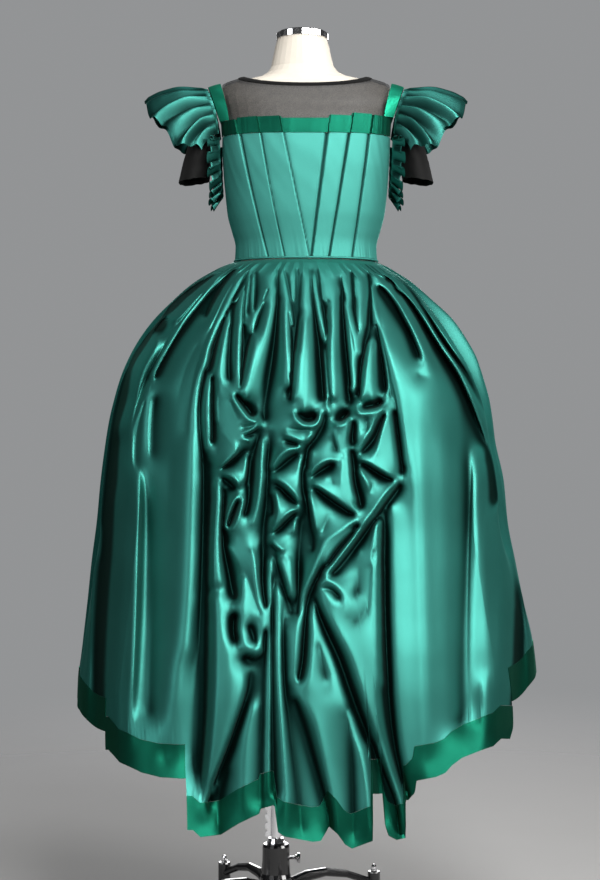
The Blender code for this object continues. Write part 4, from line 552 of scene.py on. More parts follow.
# soft upright swells of the back and sides, on the elevation
SOFT_SWELLS = (
    # x top, y top, x middle, x bottom, y bottom, height (mm), half width (units)
    (135, 455, 134, 127, 710, 8.0, 11.0),
    (418, 400, 425, 428, 770, 5.0, 17.0),
    (487, 500, 488, 489, 730, 6.5, 15.0),
    (512, 470, 522, 531, 690, 4.0, 9.0),
    (92, 470, 89, 86, 700, 5.0, 9.0),
)

# folds of the hidden sides and front, by angle from the centre back
HIDDEN_FOLDS = (
    # angle at waist, middle, hem, z start, z end, height (mm), left width, right width (deg)
    (-52, -66, -72, 1.37, 0.47, 10, 5, 9),
    (-70, -82, -86, 1.385, 0.50, 13, 4, 10),
    (-84, -95, -97, 1.37, 0.55, 9, 8, 4),
    (-97, -108, -111, 1.39, 0.50, 15, 5, 11),
    (-112, -119, -121, 1.36, 0.80, 9, 4, 6),
    (-124, -131, -134, 1.385, 0.50, 14, 9, 5),
    (-138, -143, -145, 1.37, 0.62, 10, 5, 8),
    (-152, -156, -158, 1.39, 0.50, 15, 6, 11),
    (-166, -168, -170, 1.36, 0.85, 8, 5, 4),
    (-177, -178, -179, 1.385, 0.50, 13, 10, 6),
    (168, 167, 166, 1.375, 0.60, 10, 5, 7),
    (155, 152, 151, 1.39, 0.50, 15, 7, 10),
    (142, 138, 136, 1.365, 0.75, 9, 6, 4),
    (130, 125, 122, 1.385, 0.50, 14, 9, 5),
    (116, 110, 107, 1.37, 0.60, 10, 5, 8),
    (103, 97, 94, 1.39, 0.52, 14, 10, 5),
    (88, 83, 81, 1.365, 0.80, 9, 4, 7),
    (74, 72, 71, 1.385, 0.53, 12, 9, 5),
    (60, 62, 63, 1.36, 0.56, 8, 6, 6),
)
# caught-in places of the puckers over the hem band, by angle: from, to, strength
PUCKERS = (
    # from, to (deg), height (mm)
    (-60, -31, 1.6), (-27, -17, 1.3), (-9, 1, 0.8), (12, 24, 0.9), (38, 57, 1.1), (62, 76, 1.3),
    (84, 112, 1.0), (128, 150, 1.2), (160, 196, 1.0), (-150, -128, 1.2), (-112, -84, 1.1),
)


def through(points, count=None):
    """Smooth line through places (x, y, height), Catmull-Rom."""
    p = np.array(points, float)
    n = len(p) - 1
    length = np.hypot(np.diff(p[:, 0]), np.diff(p[:, 1])).sum()
    count = count or max(8, int(length * 3.0))
    v = np.linspace(0, n, count)
    i = np.clip(np.floor(v).astype(int), 0, n - 1)
    s = (v - i)[:, None]
    p0, p1 = p[np.maximum(i - 1, 0)], p[i]
    p2, p3 = p[i + 1], p[np.minimum(i + 2, n)]
    return 0.5 * (2 * p1 + (p2 - p0) * s + (2 * p0 - 5 * p1 + 4 * p2 - p3) * s ** 2
                  + (-p0 + 3 * p1 - 3 * p2 + p3) * s ** 3)


def blur(field, sigma):
    if sigma <= 0.05:
        return field
    r = max(1, int(math.ceil(3 * sigma)))
    k = np.exp(-0.5 * (np.arange(-r, r + 1) / sigma) ** 2)
    k /= k.sum()
    f = np.pad(field, ((r, r), (0, 0)), mode="edge")
    f = sum(k[i] * f[i:i + field.shape[0]] for i in range(2 * r + 1))
    f = np.pad(f, ((0, 0), (r, r)), mode="edge")
    return sum(k[i] * f[:, i:i + field.shape[1]] for i in range(2 * r + 1))


def stretch_field(creases, finest):
    """Heights (m) of cloth stretched over the creases, on a fine elevation grid.
    Solved from coarse to fine: each free cell settles between its neighbours,
    plus the fullness there."""
    cell, field = 8.0, None
    drawn = [through(c) for c in creases]
    while True:
        nx = int(round((FIELD_RIGHT - FIELD_LEFT) / cell)) + 1
        ny = int(round((FIELD_BOTTOM - FIELD_TOP) / cell)) + 1
        total, hits, hold = np.zeros((ny, nx)), np.zeros((ny, nx)), np.zeros((ny, nx))
        for line in drawn:
            # a crease dies away at its ends
            along = np.concatenate([[0], np.cumsum(np.hypot(np.diff(line[:, 0]), np.diff(line[:, 1])))])
            fade = min(7.0, 0.25 * along[-1])
            grip = 0.12 + 0.88 * smooth_step(np.minimum(along, along[-1] - along), 0.0, fade)
            j = np.round((line[:, 0] - FIELD_LEFT) / cell).astype(int)
            i = np.round((line[:, 1] - FIELD_TOP) / cell).astype(int)
            ok = (j >= 0) & (j < nx) & (i >= 0) & (i < ny)
            np.add.at(total, (i[ok], j[ok]), np.where(line[ok, 2] > 0, RIDGE_SCALE, GROOVE_SCALE) * line[ok, 2] * 0.001)
            np.add.at(hits, (i[ok], j[ok]), 1.0)
            np.maximum.at(hold, (i[ok], j[ok]), grip[ok] ** (8.0 / cell if cell < 8.0 else 1.0) if cell < 2 else grip[ok])
        fixed = hits > 0
        value = total / np.maximum(hits, 1.0)
        y = FIELD_TOP + np.arange(ny) * cell
        crown = np.interp(y, [r[0] for r in FULLNESS], [r[1] for r in FULLNESS])[:, None] * (cell * UNIT) ** 2
        if field is None:
            field = np.zeros((ny, nx))
        else:
            old_y = np.linspace(0, field.shape[0] - 1, ny)
            old_x = np.linspace(0, field.shape[1] - 1, nx)
            field = sample(field, old_x[None, :] + 0 * old_y[:, None], old_y[:, None] + 0 * old_x[None, :])
        field = np.where(fixed, field + hold * (value - field), field)
        red = (np.add.outer(np.arange(ny), np.arange(nx)) % 2) == 0
        free = hold < 0.999
        free[0, :] = False
        free[:, 0] = free[:, -1] = False
        field[0, :] = 0
        field[:, 0] = field[:, -1] = 0
        masks = (free & red, free & ~red)
        sweeps, relax = (300, 1.85) if cell > 2 else ((90, 1.75) if cell > 1 else (36, 1.55))
        for _ in range(sweeps):
            for m in masks:
                around = np.empty_like(field)
                around[1:-1, 1:-1] = (field[:-2, 1:-1] + field[2:, 1:-1] + field[1:-1, :-2] + field[1:-1, 2:]
                                      + crown[1:-1]) * 0.25
                around[-1, 1:-1] = field[-2, 1:-1]
                inner = m.copy()
                inner[0, :] = False
                goal = around + hold * (value - around)
                field = np.where(inner, field + np.where(fixed, 1.0, relax) * (goal - field), field)
        if cell <= finest:
            return field, cell
        cell *= 0.5


def sample(field, x, y):
    """Bilinear sample at column x and row y."""
    x = np.clip(x, 0, field.shape[1] - 1.001)
    y = np.clip(y, 0, field.shape[0] - 1.001)
    j, i = np.floor(x).astype(int), np.floor(y).astype(int)
    u, v = x - j, y - i
    return ((field[i, j] * (1 - u) + field[i, j + 1] * u) * (1 - v)
            + (field[i + 1, j] * (1 - u) + field[i + 1, j + 1] * u) * v)


FIELD, CELL = stretch_field([row for table in CREASE_TABLES for row in table], 0.5)



def round_crests(field, cell):
    """Rounds the crests and leaves the valleys crisper: least in the pick-ups,
    most low on the plain sides."""
    y = FIELD_TOP + np.arange(field.shape[0])[:, None] * cell
    x = FIELD_LEFT + np.arange(field.shape[1])[None, :] * cell
    crisp, tight, soft, broad = (blur(field, r / cell) for r in (CREASE_ROUNDING, PICKUP_ROUNDING, CREST_ROUNDING, SIDE_ROUNDING))
    train = smooth_step(x, 200, 216) * (1 - smooth_step(x, 386, 402))
    pickups = train * smooth_step(y, 380, 402) * (1 - smooth_step(y, 560, 610))
    sides = (1 - smooth_step(x, 196, 208) * (1 - smooth_step(x, 404, 420))) * smooth_step(y, 320, 450)
    limit = soft + (tight - soft) * pickups
    limit = limit + (broad - limit) * sides
    floor = crisp + (0.5 * (soft + broad) - crisp) * sides
    return -smooth_max(-floor, -limit - 0.0002, 0.0004)


FIELD = round_crests(FIELD, CELL)
STRIDE = int(round(2.0 / CELL))          # the shade map needs one place every 2 units
COARSE = FIELD[::STRIDE, ::STRIDE]
AROUND = blur(COARSE, 4.0) - 0.0004


def painted_shade_share(angle, z):
    """Painted shade: how deep a place lies below the folds round it, from 0 to 1, darkening the satin's colour there.
    """
    across, up = on_elevation(skirt_base(angle, z))
    x, y = grid_of(across, up)
    u, v = x - FIELD_LEFT, y - FIELD_TOP
    here = sample(FIELD, u / CELL, v / CELL)
    around = sample(AROUND, u / CELL / STRIDE, v / CELL / STRIDE)
    deep = (around - here) * np.minimum(1.0 / np.maximum(np.cos(np.radians(angle)), 0.3) ** 2, 2.6)
    # painted shade over the gathered and picked-up cloth, which lies in many layers, most of all in the train
    middle = smooth_step(x, 200, 222) * (1 - smooth_step(x, 384, 404)) * smooth_step(y, 268, 300)
    deep = deep + middle * (0.0028 + 0.0018 * smooth_step(y, 560, 640))
    return smooth_step(deep, -0.0008, 0.0100) * back_share(angle)


def uneven(t, seed, octaves=5):
    """Smooth uneven wave of t, from a sum of sines with fixed phases."""
    total = np.zeros_like(np.asarray(t, float))
    for k in range(octaves):
        f = (1.0, 1.73, 2.61, 3.97, 5.33, 7.1)[k] * (1 + 0.07 * math.sin(seed * 3.1 + k))
        total = total + math.cos(seed * 1.7 + k * 2.1) * np.sin(t * f + seed * 12.9898 + k * 4.1) / (1 + 0.55 * k)
    return total / 1.9


def grid_of(across, up):
    return across / UNIT + GRID_AXIS_X, GRID_EYE_Y - (up - EYE_HEIGHT) / UNIT


def back_share(angle):
    return smooth_step(np.cos(np.radians(angle)), 0.14, 0.36)


def crest(q, sharp=1.35):
    """Fold profile: 1 at the crest, 0 at its foot, with a slightly rounded top."""
    d = np.sqrt(np.asarray(q) ** 2 + 0.0036) - 0.06
    return np.clip(1 - d, 0, 1) ** sharp


def hidden_relief(turn, z):
    total = np.zeros_like(z)
    for a0, am, a1, z0, z1, height, left, right in HIDDEN_FOLDS:
        f = np.clip((z0 - z) / (z0 - z1), 0, 1)
        middle = a0 + (am - a0) * np.minimum(f / 0.35, 1) + (a1 - am) * np.clip((f - 0.35) / 0.65, 0, 1)
        middle = middle + 0.8 * np.sin(f * 5.0 + a0)
        off = (turn - middle + 180.0) % 360.0 - 180.0
        wide = 0.45 + 0.75 * smooth_step(f, 0.0, 0.5)
        q = np.abs(off) / np.where(off < 0, left, right) / wide
        rise = smooth_step(f, 0.0, 0.16) * (1 - (0.55 if z1 < 0.56 else 1.0) * smooth_step(f, 0.55, 1.0))
        total = smooth_max(total, height * 0.001 * rise * crest(q), 0.0015)
    # fine tucks just under the waist
    deep = WAIST_Z - z
    fine = np.abs(np.sin(np.radians(turn) * 31 + 1.3 * uneven(np.radians(turn) * 4, 2.0)))
    total = total + 0.0028 * (1 - fine) * smooth_step(deep, 0.0, 0.012) * (1 - smooth_step(deep, 0.02, 0.085)) \
        * (0.6 + 0.5 * uneven(np.radians(turn) * 9, 5.0))
    return total


def skirt_base(angle, z):
    """Smooth dome of the skirt; angle in degrees from the centre back."""
    left = smooth_interp(SKIRT_SECTIONS, z, 1)
    right = smooth_interp(SKIRT_SECTIONS, z, 2)
    s, c = np.sin(np.radians(angle)), np.cos(np.radians(angle))
    grown = 0.5 * (left + right) - 0.149
    back = WAIST_BACK + BACK_REACH * grown
    front = WAIST_FRONT + FRONT_REACH * grown
    half = 0.5 * (left + right) + 0.5 * (right - left) * s
    deep = 0.5 * (back + front) + 0.5 * (back - front) * c
    return np.stack([half * s, -deep * c, np.asarray(z, float) + 0 * s], axis=-1)


def skirt_relief(angle, z, point):
    across, up = on_elevation(point)
    x, y = grid_of(across, up)
    turn = (np.asarray(angle, float) + 180.0) % 360.0 - 180.0
    near = back_share(angle)
    field = sample(FIELD, (x - FIELD_LEFT) / CELL, (y - FIELD_TOP) / CELL)
    for x0, y0, xm, x1, y1, height, half in SOFT_SWELLS:
        f = np.clip((y - y0) / (y1 - y0), 0, 1)
        middle = (1 - f) ** 2 * x0 + 2 * f * (1 - f) * xm + f * f * x1
        rise = smooth_step((y - y0) / (y1 - y0), -0.05, 0.25) * (1 - smooth_step((y - y0) / (y1 - y0), 0.85, 1.2))
        field = field + height * 0.001 * rise * np.exp(-((x - middle) / (0.6 * half)) ** 2)
    # fine gathers of the back, just under the waist
    deep = WAIST_Z - z
    t = np.radians(turn)
    fine = np.abs(np.sin(t * 27 + 1.6 * uneven(t * 5, 1.0)))
    long = 0.020 + 0.018 * (0.5 + 0.5 * uneven(t * 11, 3.0))
    field = field + 0.0058 * (1 - fine) ** 0.8 * smooth_step(deep, 0.0, 0.008) * (1 - smooth_step(deep, long * 0.6, long * 1.9))
    # folds lie deeper where the surface turns away, so they stay as steep across it
    turned = 1.0 / np.maximum(np.cos(t), 0.3) ** 2
    outline = smooth_step(np.abs(turn), 58.0, 74.0) * smooth_step(z, 0.90, 1.05)
    field = field * np.where(field > 0, np.minimum(turned, 2.6 - 0.9 * outline), np.minimum(turned, 3.2 - 1.4 * outline))
    return field * near + hidden_relief(turn, z) * (1 - near)


def toward_eye(p):
    d = np.stack([EYE_X - p[..., 0], -EYE_DISTANCE - p[..., 1], EYE_HEIGHT - p[..., 2]], axis=-1)
    return d / np.linalg.norm(d, axis=-1, keepdims=True)


def skirt_point(angle, z, pucker=None):
    base = skirt_base(angle, z)
    n = surface_normals(skirt_base, angle, z, 0.5, -0.002)
    w = (back_share(angle) * 0.85)[..., None]
    way = n * (1 - w) + toward_eye(base) * w
    way /= np.linalg.norm(way, axis=-1, keepdims=True)
    fade = smooth_step(WAIST_Z - z, 0.0, 0.007)
    relief = (skirt_relief(angle, z, base) + 0.0006) * fade
    if pucker is not None:
        relief = relief + pucker
    return base + way * relief[..., None]


def pucker_relief(angle, z, band_top):
    """Small uneven tucks where the cloth is sewn to the band."""
    turn = (np.asarray(angle, float) + 180.0) % 360.0 - 180.0
    above = z - band_top
    total = np.zeros_like(z)
    for a0, a1, height in PUCKERS:
        inside = smooth_step(turn, a0 - 2, a0 + 3) * (1 - smooth_step(turn, a1 - 3, a1 + 2))
        t = np.radians(turn)
        tuck = np.clip(uneven(t * 95 + above * 40 * math.sin(a0), a0 * 0.1) + 0.15, 0, 1.2)
        long = 0.010 + 0.016 * (0.5 + 0.5 * uneven(t * 40, a0 * 0.3))
        total = total + height * 0.0017 * inside * tuck * np.exp(-np.clip(above, 0, 1) / long) * smooth_step(above, -0.001, 0.004)
    return total


def hem_height(name, angle):
    """Height of the hem at an angle, from the panel's own hem line."""
    wrapped = (np.asarray(angle, float) + 180.0) % 360.0 - 180.0
    on_grid = {"skirt_side_back_left": HEM_SIDE_BACK_LEFT,
               "skirt_centre_back": HEM_CENTRE_BACK,
               "skirt_side_back_right": HEM_SIDE_BACK_RIGHT}.get(name)
    if on_grid is None:
        right = interp_columns(HEM_RIGHT_AND_FRONT, wrapped, 1)
        left = interp_columns(HEM_LEFT_AND_FRONT, wrapped, 1)
        return np.where(wrapped > 0, right, left)
    xs = [float(grid_across(r[0])) for r in on_grid]
    ys = [float(grid_up(r[1])) for r in on_grid]
    z = np.full(wrapped.shape, 0.35)
    for _ in range(6):
        p = skirt_base(wrapped, z)
        across, _up = on_elevation(p)
        up = np.interp(across, xs, ys)
        z = EYE_HEIGHT + (up - EYE_HEIGHT) * (EYE_DISTANCE + p[..., 1]) / EYE_DISTANCE
    return z


def profile_length():
    z = np.linspace(WAIST_Z, 0.22, 400)
    r = 0.5 * (smooth_interp(SKIRT_SECTIONS, z, 1) + smooth_interp(SKIRT_SECTIONS, z, 2))
    s = np.concatenate([[0], np.cumsum(np.hypot(np.diff(z), np.diff(r)))])
    return z, s


PROFILE_Z, PROFILE_S = profile_length()


# ------------------------------------------------------------------ forms shared with the solids
def height_down(share, z_end, z_start=WAIST_Z):
    """Height at a share of the way down the dome's profile."""
    s0 = np.interp(-np.asarray(z_start, float), -PROFILE_Z, PROFILE_S)
    s1 = np.interp(-np.asarray(z_end, float), -PROFILE_Z, PROFILE_S)
    return np.interp(s0 + (s1 - s0) * share, PROFILE_S, PROFILE_Z)


def seam_share(z):
    """Share of the way from the waist angle to the hem angle at a height."""
    return np.clip((WAIST_Z - np.asarray(z, float)) / (WAIST_Z - SEAM_LOW_Z), 0, 1.2)


def bodice_section(z):
    return (smooth_interp(BODICE_SECTIONS, z, 1), smooth_interp(BODICE_SECTIONS, z, 2),
            smooth_interp(BODICE_SECTIONS, z, 3))


def section_power(z):
    """How square a section is: 1 is an ellipse, less is squarer."""
    return np.interp(z, [r[0] for r in BOX_POWER], [r[1] for r in BOX_POWER])


def bodice_base(angle, z):
    side, back, front = bodice_section(z)
    power = section_power(z)
    s, c = np.sin(np.radians(angle)), np.cos(np.radians(angle))
    s = np.sign(s) * np.abs(s) ** power
    c2 = np.sign(c) * np.abs(c) ** power
    deep = np.where(c >= 0, back, front)
    return np.stack([side * s, -deep * c2, np.asarray(z, float) + 0 * s], axis=-1)


def pleat_share(across, up):
    """Sawtooth of the pleats: 1 at each free edge, 0 just inside it."""
    f = np.clip((up - grid_up(256)) / (grid_up(133) - grid_up(256)), 0, 1.3)
    edges = [float(grid_across(p[1])) + (float(grid_across(p[0])) - float(grid_across(p[1]))) * f for p in PLEATS]
    rise = np.zeros_like(across)
    left_outer = float(grid_across(205))
    for k in range(3):
        outer = edges[k - 1] if k > 0 else np.full_like(across, left_outer)
        inside = (across <= edges[k]) & (across > outer)
        rise = np.where(inside, (across - outer) / np.maximum(edges[k] - outer, 1e-6), rise)
    right_outer = float(grid_across(408))
    for k in range(3, 6):
        outer = edges[k + 1] if k < 5 else np.full_like(across, right_outer)
        inside = (across >= edges[k]) & (across < outer)
        rise = np.where(inside, (outer - across) / np.maximum(outer - edges[k], 1e-6), rise)
    return rise


def armhole_top(angle):
    """Top edge of the bodice: level across the back, dipping under each arm."""
    off = np.abs((np.asarray(angle, float) + 180) % 360 - 180)
    dip = 1.0 - smooth_step(np.abs(off - 90), 3.0, 17.0)
    return BODICE_TOP_Z - (BODICE_TOP_Z - ARMHOLE_Z) * dip


def torso_ring(z, offset=0.0):
    return (smooth_interp(TORSO_SECTIONS, z, 1) + offset, smooth_interp(TORSO_SECTIONS, z, 2) + offset,
            smooth_interp(TORSO_SECTIONS, z, 3) + offset, smooth_interp(TORSO_SECTIONS, z, 4))


def torso_base(angle, z, offset=0.0):
    side, back, front, mid = torso_ring(z, offset)
    s, c = np.sin(np.radians(angle)), np.cos(np.radians(angle))
    power = section_power(z)
    s = np.sign(s) * np.abs(s) ** power
    c2 = np.sign(c) * np.abs(c) ** power
    lean = NECK_X * smooth_step(np.asarray(z, float), 1.76, 1.83)
    deep = np.where(c >= 0, back, front)
    return np.stack([side * s + lean, mid - deep * c2, np.asarray(z, float) + 0 * s], axis=-1)


def torso_skin(angle, z, off):
    """Point a true distance off the form's surface."""
    angle, z = np.broadcast_arrays(np.asarray(angle, float), np.asarray(z, float))
    n = surface_normals(torso_base, angle, z, 1.5, 0.003)
    return torso_base(angle, z) + n * off


def neck_slice(angles, rise, grow):
    """Section of the neck on its sloping top plane."""
    p = torso_base(angles, np.full(angles.shape, NECK_TOP_Z), grow)
    y = p[:, 1]
    p[:, 2] = NECK_TOP_Z + rise - 0.10 * (y - 0.02)
    return [tuple(q) for q in p]


def yoke_side_limit(z):
    """Angle at which the yoke meets the inner edge of the strap."""
    across = float(np.interp(z, [1.700, 1.745, 1.770], [0.1555, 0.1645, 0.1730]))
    share = across / float(torso_ring(z)[0])
    if share >= 0.999:
        return 89.6
    return math.degrees(math.asin(share ** (1 / float(section_power(z)))))


def neckline(angle):
    """Height of the mesh's neck edge round the neck opening."""
    s = np.abs(np.sin(np.radians(angle)))
    low = np.where(np.cos(np.radians(angle)) > 0, 1.7600, 1.7520)
    return low + (1.7835 - low) * s ** 1.6


# the two edges of the left strap, from back to front; the right mirrors it
STRAP_EDGES = (
    # inner x, y,     z,      outer x, y,      z
    (-0.1585, -0.0800, 1.6940, -0.1780, -0.0620, 1.6940),
    (-0.1630, -0.0780, 1.7200, -0.1850, -0.0610, 1.7200),
    (-0.1690, -0.0680, 1.7450, -0.1940, -0.0530, 1.7450),
    (-0.1750, -0.0460, 1.7665, -0.2010, -0.0370, 1.7625),
    (-0.1790, -0.0100, 1.7800, -0.2050, -0.0080, 1.7725),
    (-0.1780, 0.0250, 1.7760, -0.2040, 0.0220, 1.7690),
    (-0.1720, 0.0530, 1.7540, -0.1970, 0.0450, 1.7490),
    (-0.1630, 0.0750, 1.7220, -0.1860, 0.0590, 1.7220),
    (-0.1570, 0.0870, 1.6990, -0.1770, 0.0660, 1.6990),
)


def strap_point(share, across):
    """share runs from back to front, across from the inner to the outer edge."""
    inner = seam_curve([r[:3] for r in STRAP_EDGES], share)
    outer = seam_curve([r[3:] for r in STRAP_EDGES], share)
    return inner + (outer - inner) * np.asarray(across)[..., None]


# armhole seam for the left, from the lower back over the shoulder to the front
ARMHOLE_LINE = (
    # x,      y,      z
    (-0.1808, -0.0630, 1.6740),
    (-0.1842, -0.0622, 1.7020),
    (-0.1885, -0.0598, 1.7240),
    (-0.1955, -0.0532, 1.7450),
    (-0.2024, -0.0374, 1.7625),
    (-0.2064, -0.0080, 1.7725),
    (-0.2054, 0.0220, 1.7690),
    (-0.1984, 0.0455, 1.7490),
    (-0.1900, 0.0570, 1.7300),
    (-0.1845, 0.0625, 1.7060),
    (-0.1800, 0.0670, 1.6780),
)
# reach of the flutter sleeve from the seam, along its line
FLUTTER_REACH = (
    # share, outward, fall
    (0.00, 0.040, 0.040),
    (0.16, 0.085, 0.062),
    (0.34, 0.122, 0.048),
    (0.50, 0.134, 0.026),
    (0.66, 0.122, 0.046),
    (0.84, 0.085, 0.062),
    (1.00, 0.036, 0.042),
)
FLUTTER_WAVES = 4.5


def seam_curve(table, share):
    count = len(table)
    keys = np.linspace(0, 1, count)
    rows = [(k,) + tuple(r) for k, r in zip(keys, table)]
    return np.stack([smooth_interp_any(rows, share, c) for c in (1, 2, 3)], axis=-1)


def smooth_interp_any(rows, value, column):
    """Catmull-Rom through evenly spaced rows."""
    y = np.array([r[column] for r in rows], float)
    n = len(y) - 1
    v = np.clip(np.asarray(value, float), 0, 1) * n
    i = np.clip(np.floor(v).astype(int), 0, n - 1)
    s = v - i
    p0, p1 = y[np.maximum(i - 1, 0)], y[i]
    p2, p3 = y[i + 1], y[np.minimum(i + 2, n)]
    return 0.5 * (2 * p1 + (p2 - p0) * s + (2 * p0 - 5 * p1 + 4 * p2 - p3) * s ** 2 + (-p0 + 3 * p1 - 3 * p2 + p3) * s ** 3)


def flutter_point(share, reach):
    reach_in = np.maximum(reach, 0.0)
    seam = seam_curve(ARMHOLE_LINE, share)
    outward = interp_columns(FLUTTER_REACH, share, 1)
    fall = interp_columns(FLUTTER_REACH, share, 2)
    spread = (share - 0.5) * 2.0
    direction = np.stack([-np.ones_like(share), 0.55 * spread, 0 * share], axis=-1)
    direction /= np.linalg.norm(direction, axis=-1, keepdims=True)
    p = seam + direction * (outward * reach)[..., None]
    p[..., 2] -= fall * reach_in ** 1.6
    wave = np.sin(share * 2 * PI * FLUTTER_WAVES + 0.6) * 0.013 * reach_in ** 1.2
    p[..., 2] += wave * (0.35 + 0.65 * np.abs(np.cos(share * PI)) * 0.6)
    p[..., 1] += wave * 0.5
    return p


# lower ruffle: from the back of the armhole, down and under the arm, to the front
RUFFLE_LINE = (
    # x,      y,      z
    (-0.1815, -0.0620, 1.6600),
    (-0.1810, -0.0590, 1.6250),
    (-0.1795, -0.0500, 1.5850),
    (-0.1775, -0.0310, 1.5560),
    (-0.1770, 0.0000, 1.5440),
    (-0.1775, 0.0310, 1.5560),
    (-0.1795, 0.0500, 1.5850),
    (-0.1810, 0.0600, 1.6250),
    (-0.1815, 0.0640, 1.6600),
)
RUFFLE_WIDTH = 0.024
RUFFLE_WAVES = 9


def ruffle_point(share, reach):
    seam = seam_curve(RUFFLE_LINE, share)
    down = 0.020 * np.sin(PI * share) * reach
    p = seam.copy()
    p[..., 0] -= RUFFLE_WIDTH * reach * (0.85 + 0.15 * np.sin(share * 2 * PI * RUFFLE_WAVES * 0.5 + 1.0))
    wave = np.sin(share * 2 * PI * RUFFLE_WAVES) * 0.0068 * reach
    p[..., 2] += wave * np.abs(np.cos(PI * share)) - down
    p[..., 1] += wave * np.sin(PI * share)
    return p

# ------------------------------------------------------------------ finishes
def node_material(name):
    m = bpy.data.materials.new(name)
    m.use_nodes = True
    nodes, links = m.node_tree.nodes, m.node_tree.links
    return m, nodes, links, nodes["Principled BSDF"]


def coordinates(nodes, links, scale=(1, 1, 1)):
    c = nodes.new("ShaderNodeTexCoord")
    mapping = nodes.new("ShaderNodeMapping")
    mapping.inputs["Scale"].default_value = scale
    links.new(c.outputs["Object"], mapping.inputs["Vector"])
    return mapping.outputs["Vector"]


def noise(nodes, links, vector, scale, detail=3.0, rough=0.5):
    n = nodes.new("ShaderNodeTexNoise")
    n.inputs["Scale"].default_value = scale
    n.inputs["Detail"].default_value = detail
    n.inputs["Roughness"].default_value = rough
    links.new(vector, n.inputs["Vector"])
    return n.outputs["Fac"]


def ramp(nodes, links, fac, stops):
    r = nodes.new("ShaderNodeValToRGB")
    e = r.color_ramp.elements
    e[0].position, e[0].color = stops[0][0], (*stops[0][1], 1)
    e[1].position, e[1].color = stops[-1][0], (*stops[-1][1], 1)
    for p, c in stops[1:-1]:
        new = e.new(p)
        new.color = (*c, 1)
    links.new(fac, r.inputs["Fac"])
    return r.outputs["Color"]


def bump(nodes, links, height, strength, distance, bsdf, previous=None):
    b = nodes.new("ShaderNodeBump")
    b.inputs["Strength"].default_value = strength
    b.inputs["Distance"].default_value = distance
    links.new(height, b.inputs["Height"])
    if previous is not None:
        links.new(previous, b.inputs["Normal"])
    links.new(b.outputs["Normal"], bsdf.inputs["Normal"])
    return b.outputs["Normal"]


def map_range(nodes, links, fac, lo, hi):
    r = nodes.new("ShaderNodeMapRange")
    r.inputs["To Min"].default_value = lo
    r.inputs["To Max"].default_value = hi
    links.new(fac, r.inputs["Value"])
    return r.outputs["Result"]


def satin(name, colour=(0.036, 0.190, 0.163), dark=(0.029, 0.161, 0.137), roughness=0.49):
    m, nodes, links, bsdf = node_material(name)
    v = coordinates(nodes, links)
    soft = noise(nodes, links, v, 9.0, 2.0)
    # painted shade: the base colour is darkened, down to 0.07 times, where a vertex attribute marks cloth deep between
    # folds, which sees only other cloth
    painted_hollow_shade = nodes.new("ShaderNodeAttribute")
    painted_hollow_shade.attribute_name = "painted_hollow_shade"
    painted_shade_factor = nodes.new("ShaderNodeMapRange")
    for socket, value in (("From Min", 0.0), ("From Max", 1.0), ("To Min", 1.0), ("To Max", 0.07)):
        painted_shade_factor.inputs[socket].default_value = value
    links.new(painted_hollow_shade.outputs["Fac"], painted_shade_factor.inputs["Value"])
    shade = nodes.new("ShaderNodeVectorMath")
    shade.operation = "SCALE"
    links.new(ramp(nodes, links, soft, ((0.25, dark), (0.75, colour))), shade.inputs[0])
    links.new(painted_shade_factor.outputs["Result"], shade.inputs["Scale"])
    links.new(shade.outputs["Vector"], bsdf.inputs["Base Color"])
    grain = noise(nodes, links, coordinates(nodes, links, (1400, 1400, 500)), 1.0, 2.0, 0.6)
    links.new(map_range(nodes, links, grain, roughness - 0.05, roughness + 0.09), bsdf.inputs["Roughness"])
    bsdf.inputs["Metallic"].default_value = 0.97
    bsdf.inputs["Specular Tint"].default_value = (0.27, 0.64, 0.57, 1)   # green to the very edge
    bsdf.inputs["Sheen Weight"].default_value = 0.02
    bsdf.inputs["Sheen Roughness"].default_value = 0.4
    bsdf.inputs["Sheen Tint"].default_value = (0.55, 0.95, 0.85, 1)
    weave = noise(nodes, links, coordinates(nodes, links, (900, 900, 900)), 1.0, 1.0)
    n = bump(nodes, links, weave, 0.05, 0.0003, bsdf)
    ripple = noise(nodes, links, coordinates(nodes, links, (26, 26, 9)), 1.0, 2.0)
    bump(nodes, links, ripple, 0.10, 0.004, bsdf, n)
    return m


def band_finish(name, light=1.0):
    """Matt ribbed band: fine cross ribs."""
    m, nodes, links, bsdf = node_material(name)
    v = coordinates(nodes, links)
    soft = noise(nodes, links, v, 14.0, 2.0)
    dark = (0.0026 * light, 0.056 * light, 0.034 * light)
    pale = (0.0036 * light, 0.072 * light, 0.044 * light)
    links.new(ramp(nodes, links, soft, ((0.3, dark), (0.7, pale))), bsdf.inputs["Base Color"])
    bsdf.inputs["Roughness"].default_value = 0.46
    bsdf.inputs["Metallic"].default_value = 0.95
    bsdf.inputs["Specular Tint"].default_value = (0.14, 0.50, 0.38, 1)
    bsdf.inputs["Sheen Weight"].default_value = 0.02
    bsdf.inputs["Sheen Tint"].default_value = (0.35, 0.85, 0.65, 1)
    grain = noise(nodes, links, coordinates(nodes, links, (500, 500, 1300)), 1.0, 2.0, 0.7)
    bump(nodes, links, grain, 0.30, 0.0006, bsdf)
    return m


def black_cloth(name, roughness=0.8, light=0.0014):
    m, nodes, links, bsdf = node_material(name)
    grain = noise(nodes, links, coordinates(nodes, links, (700, 700, 700)), 1.0, 2.0)
    links.new(ramp(nodes, links, grain, ((0.3, (light, light, light)), (0.7, (light * 1.8,) * 3))), bsdf.inputs["Base Color"])
    bsdf.inputs["Roughness"].default_value = roughness
    bsdf.inputs["Specular IOR Level"].default_value = 0.16
    bsdf.inputs["Sheen Weight"].default_value = 0.015
    bsdf.inputs["Sheen Roughness"].default_value = 0.5
    bump(nodes, links, grain, 0.25, 0.0006, bsdf)
    return m


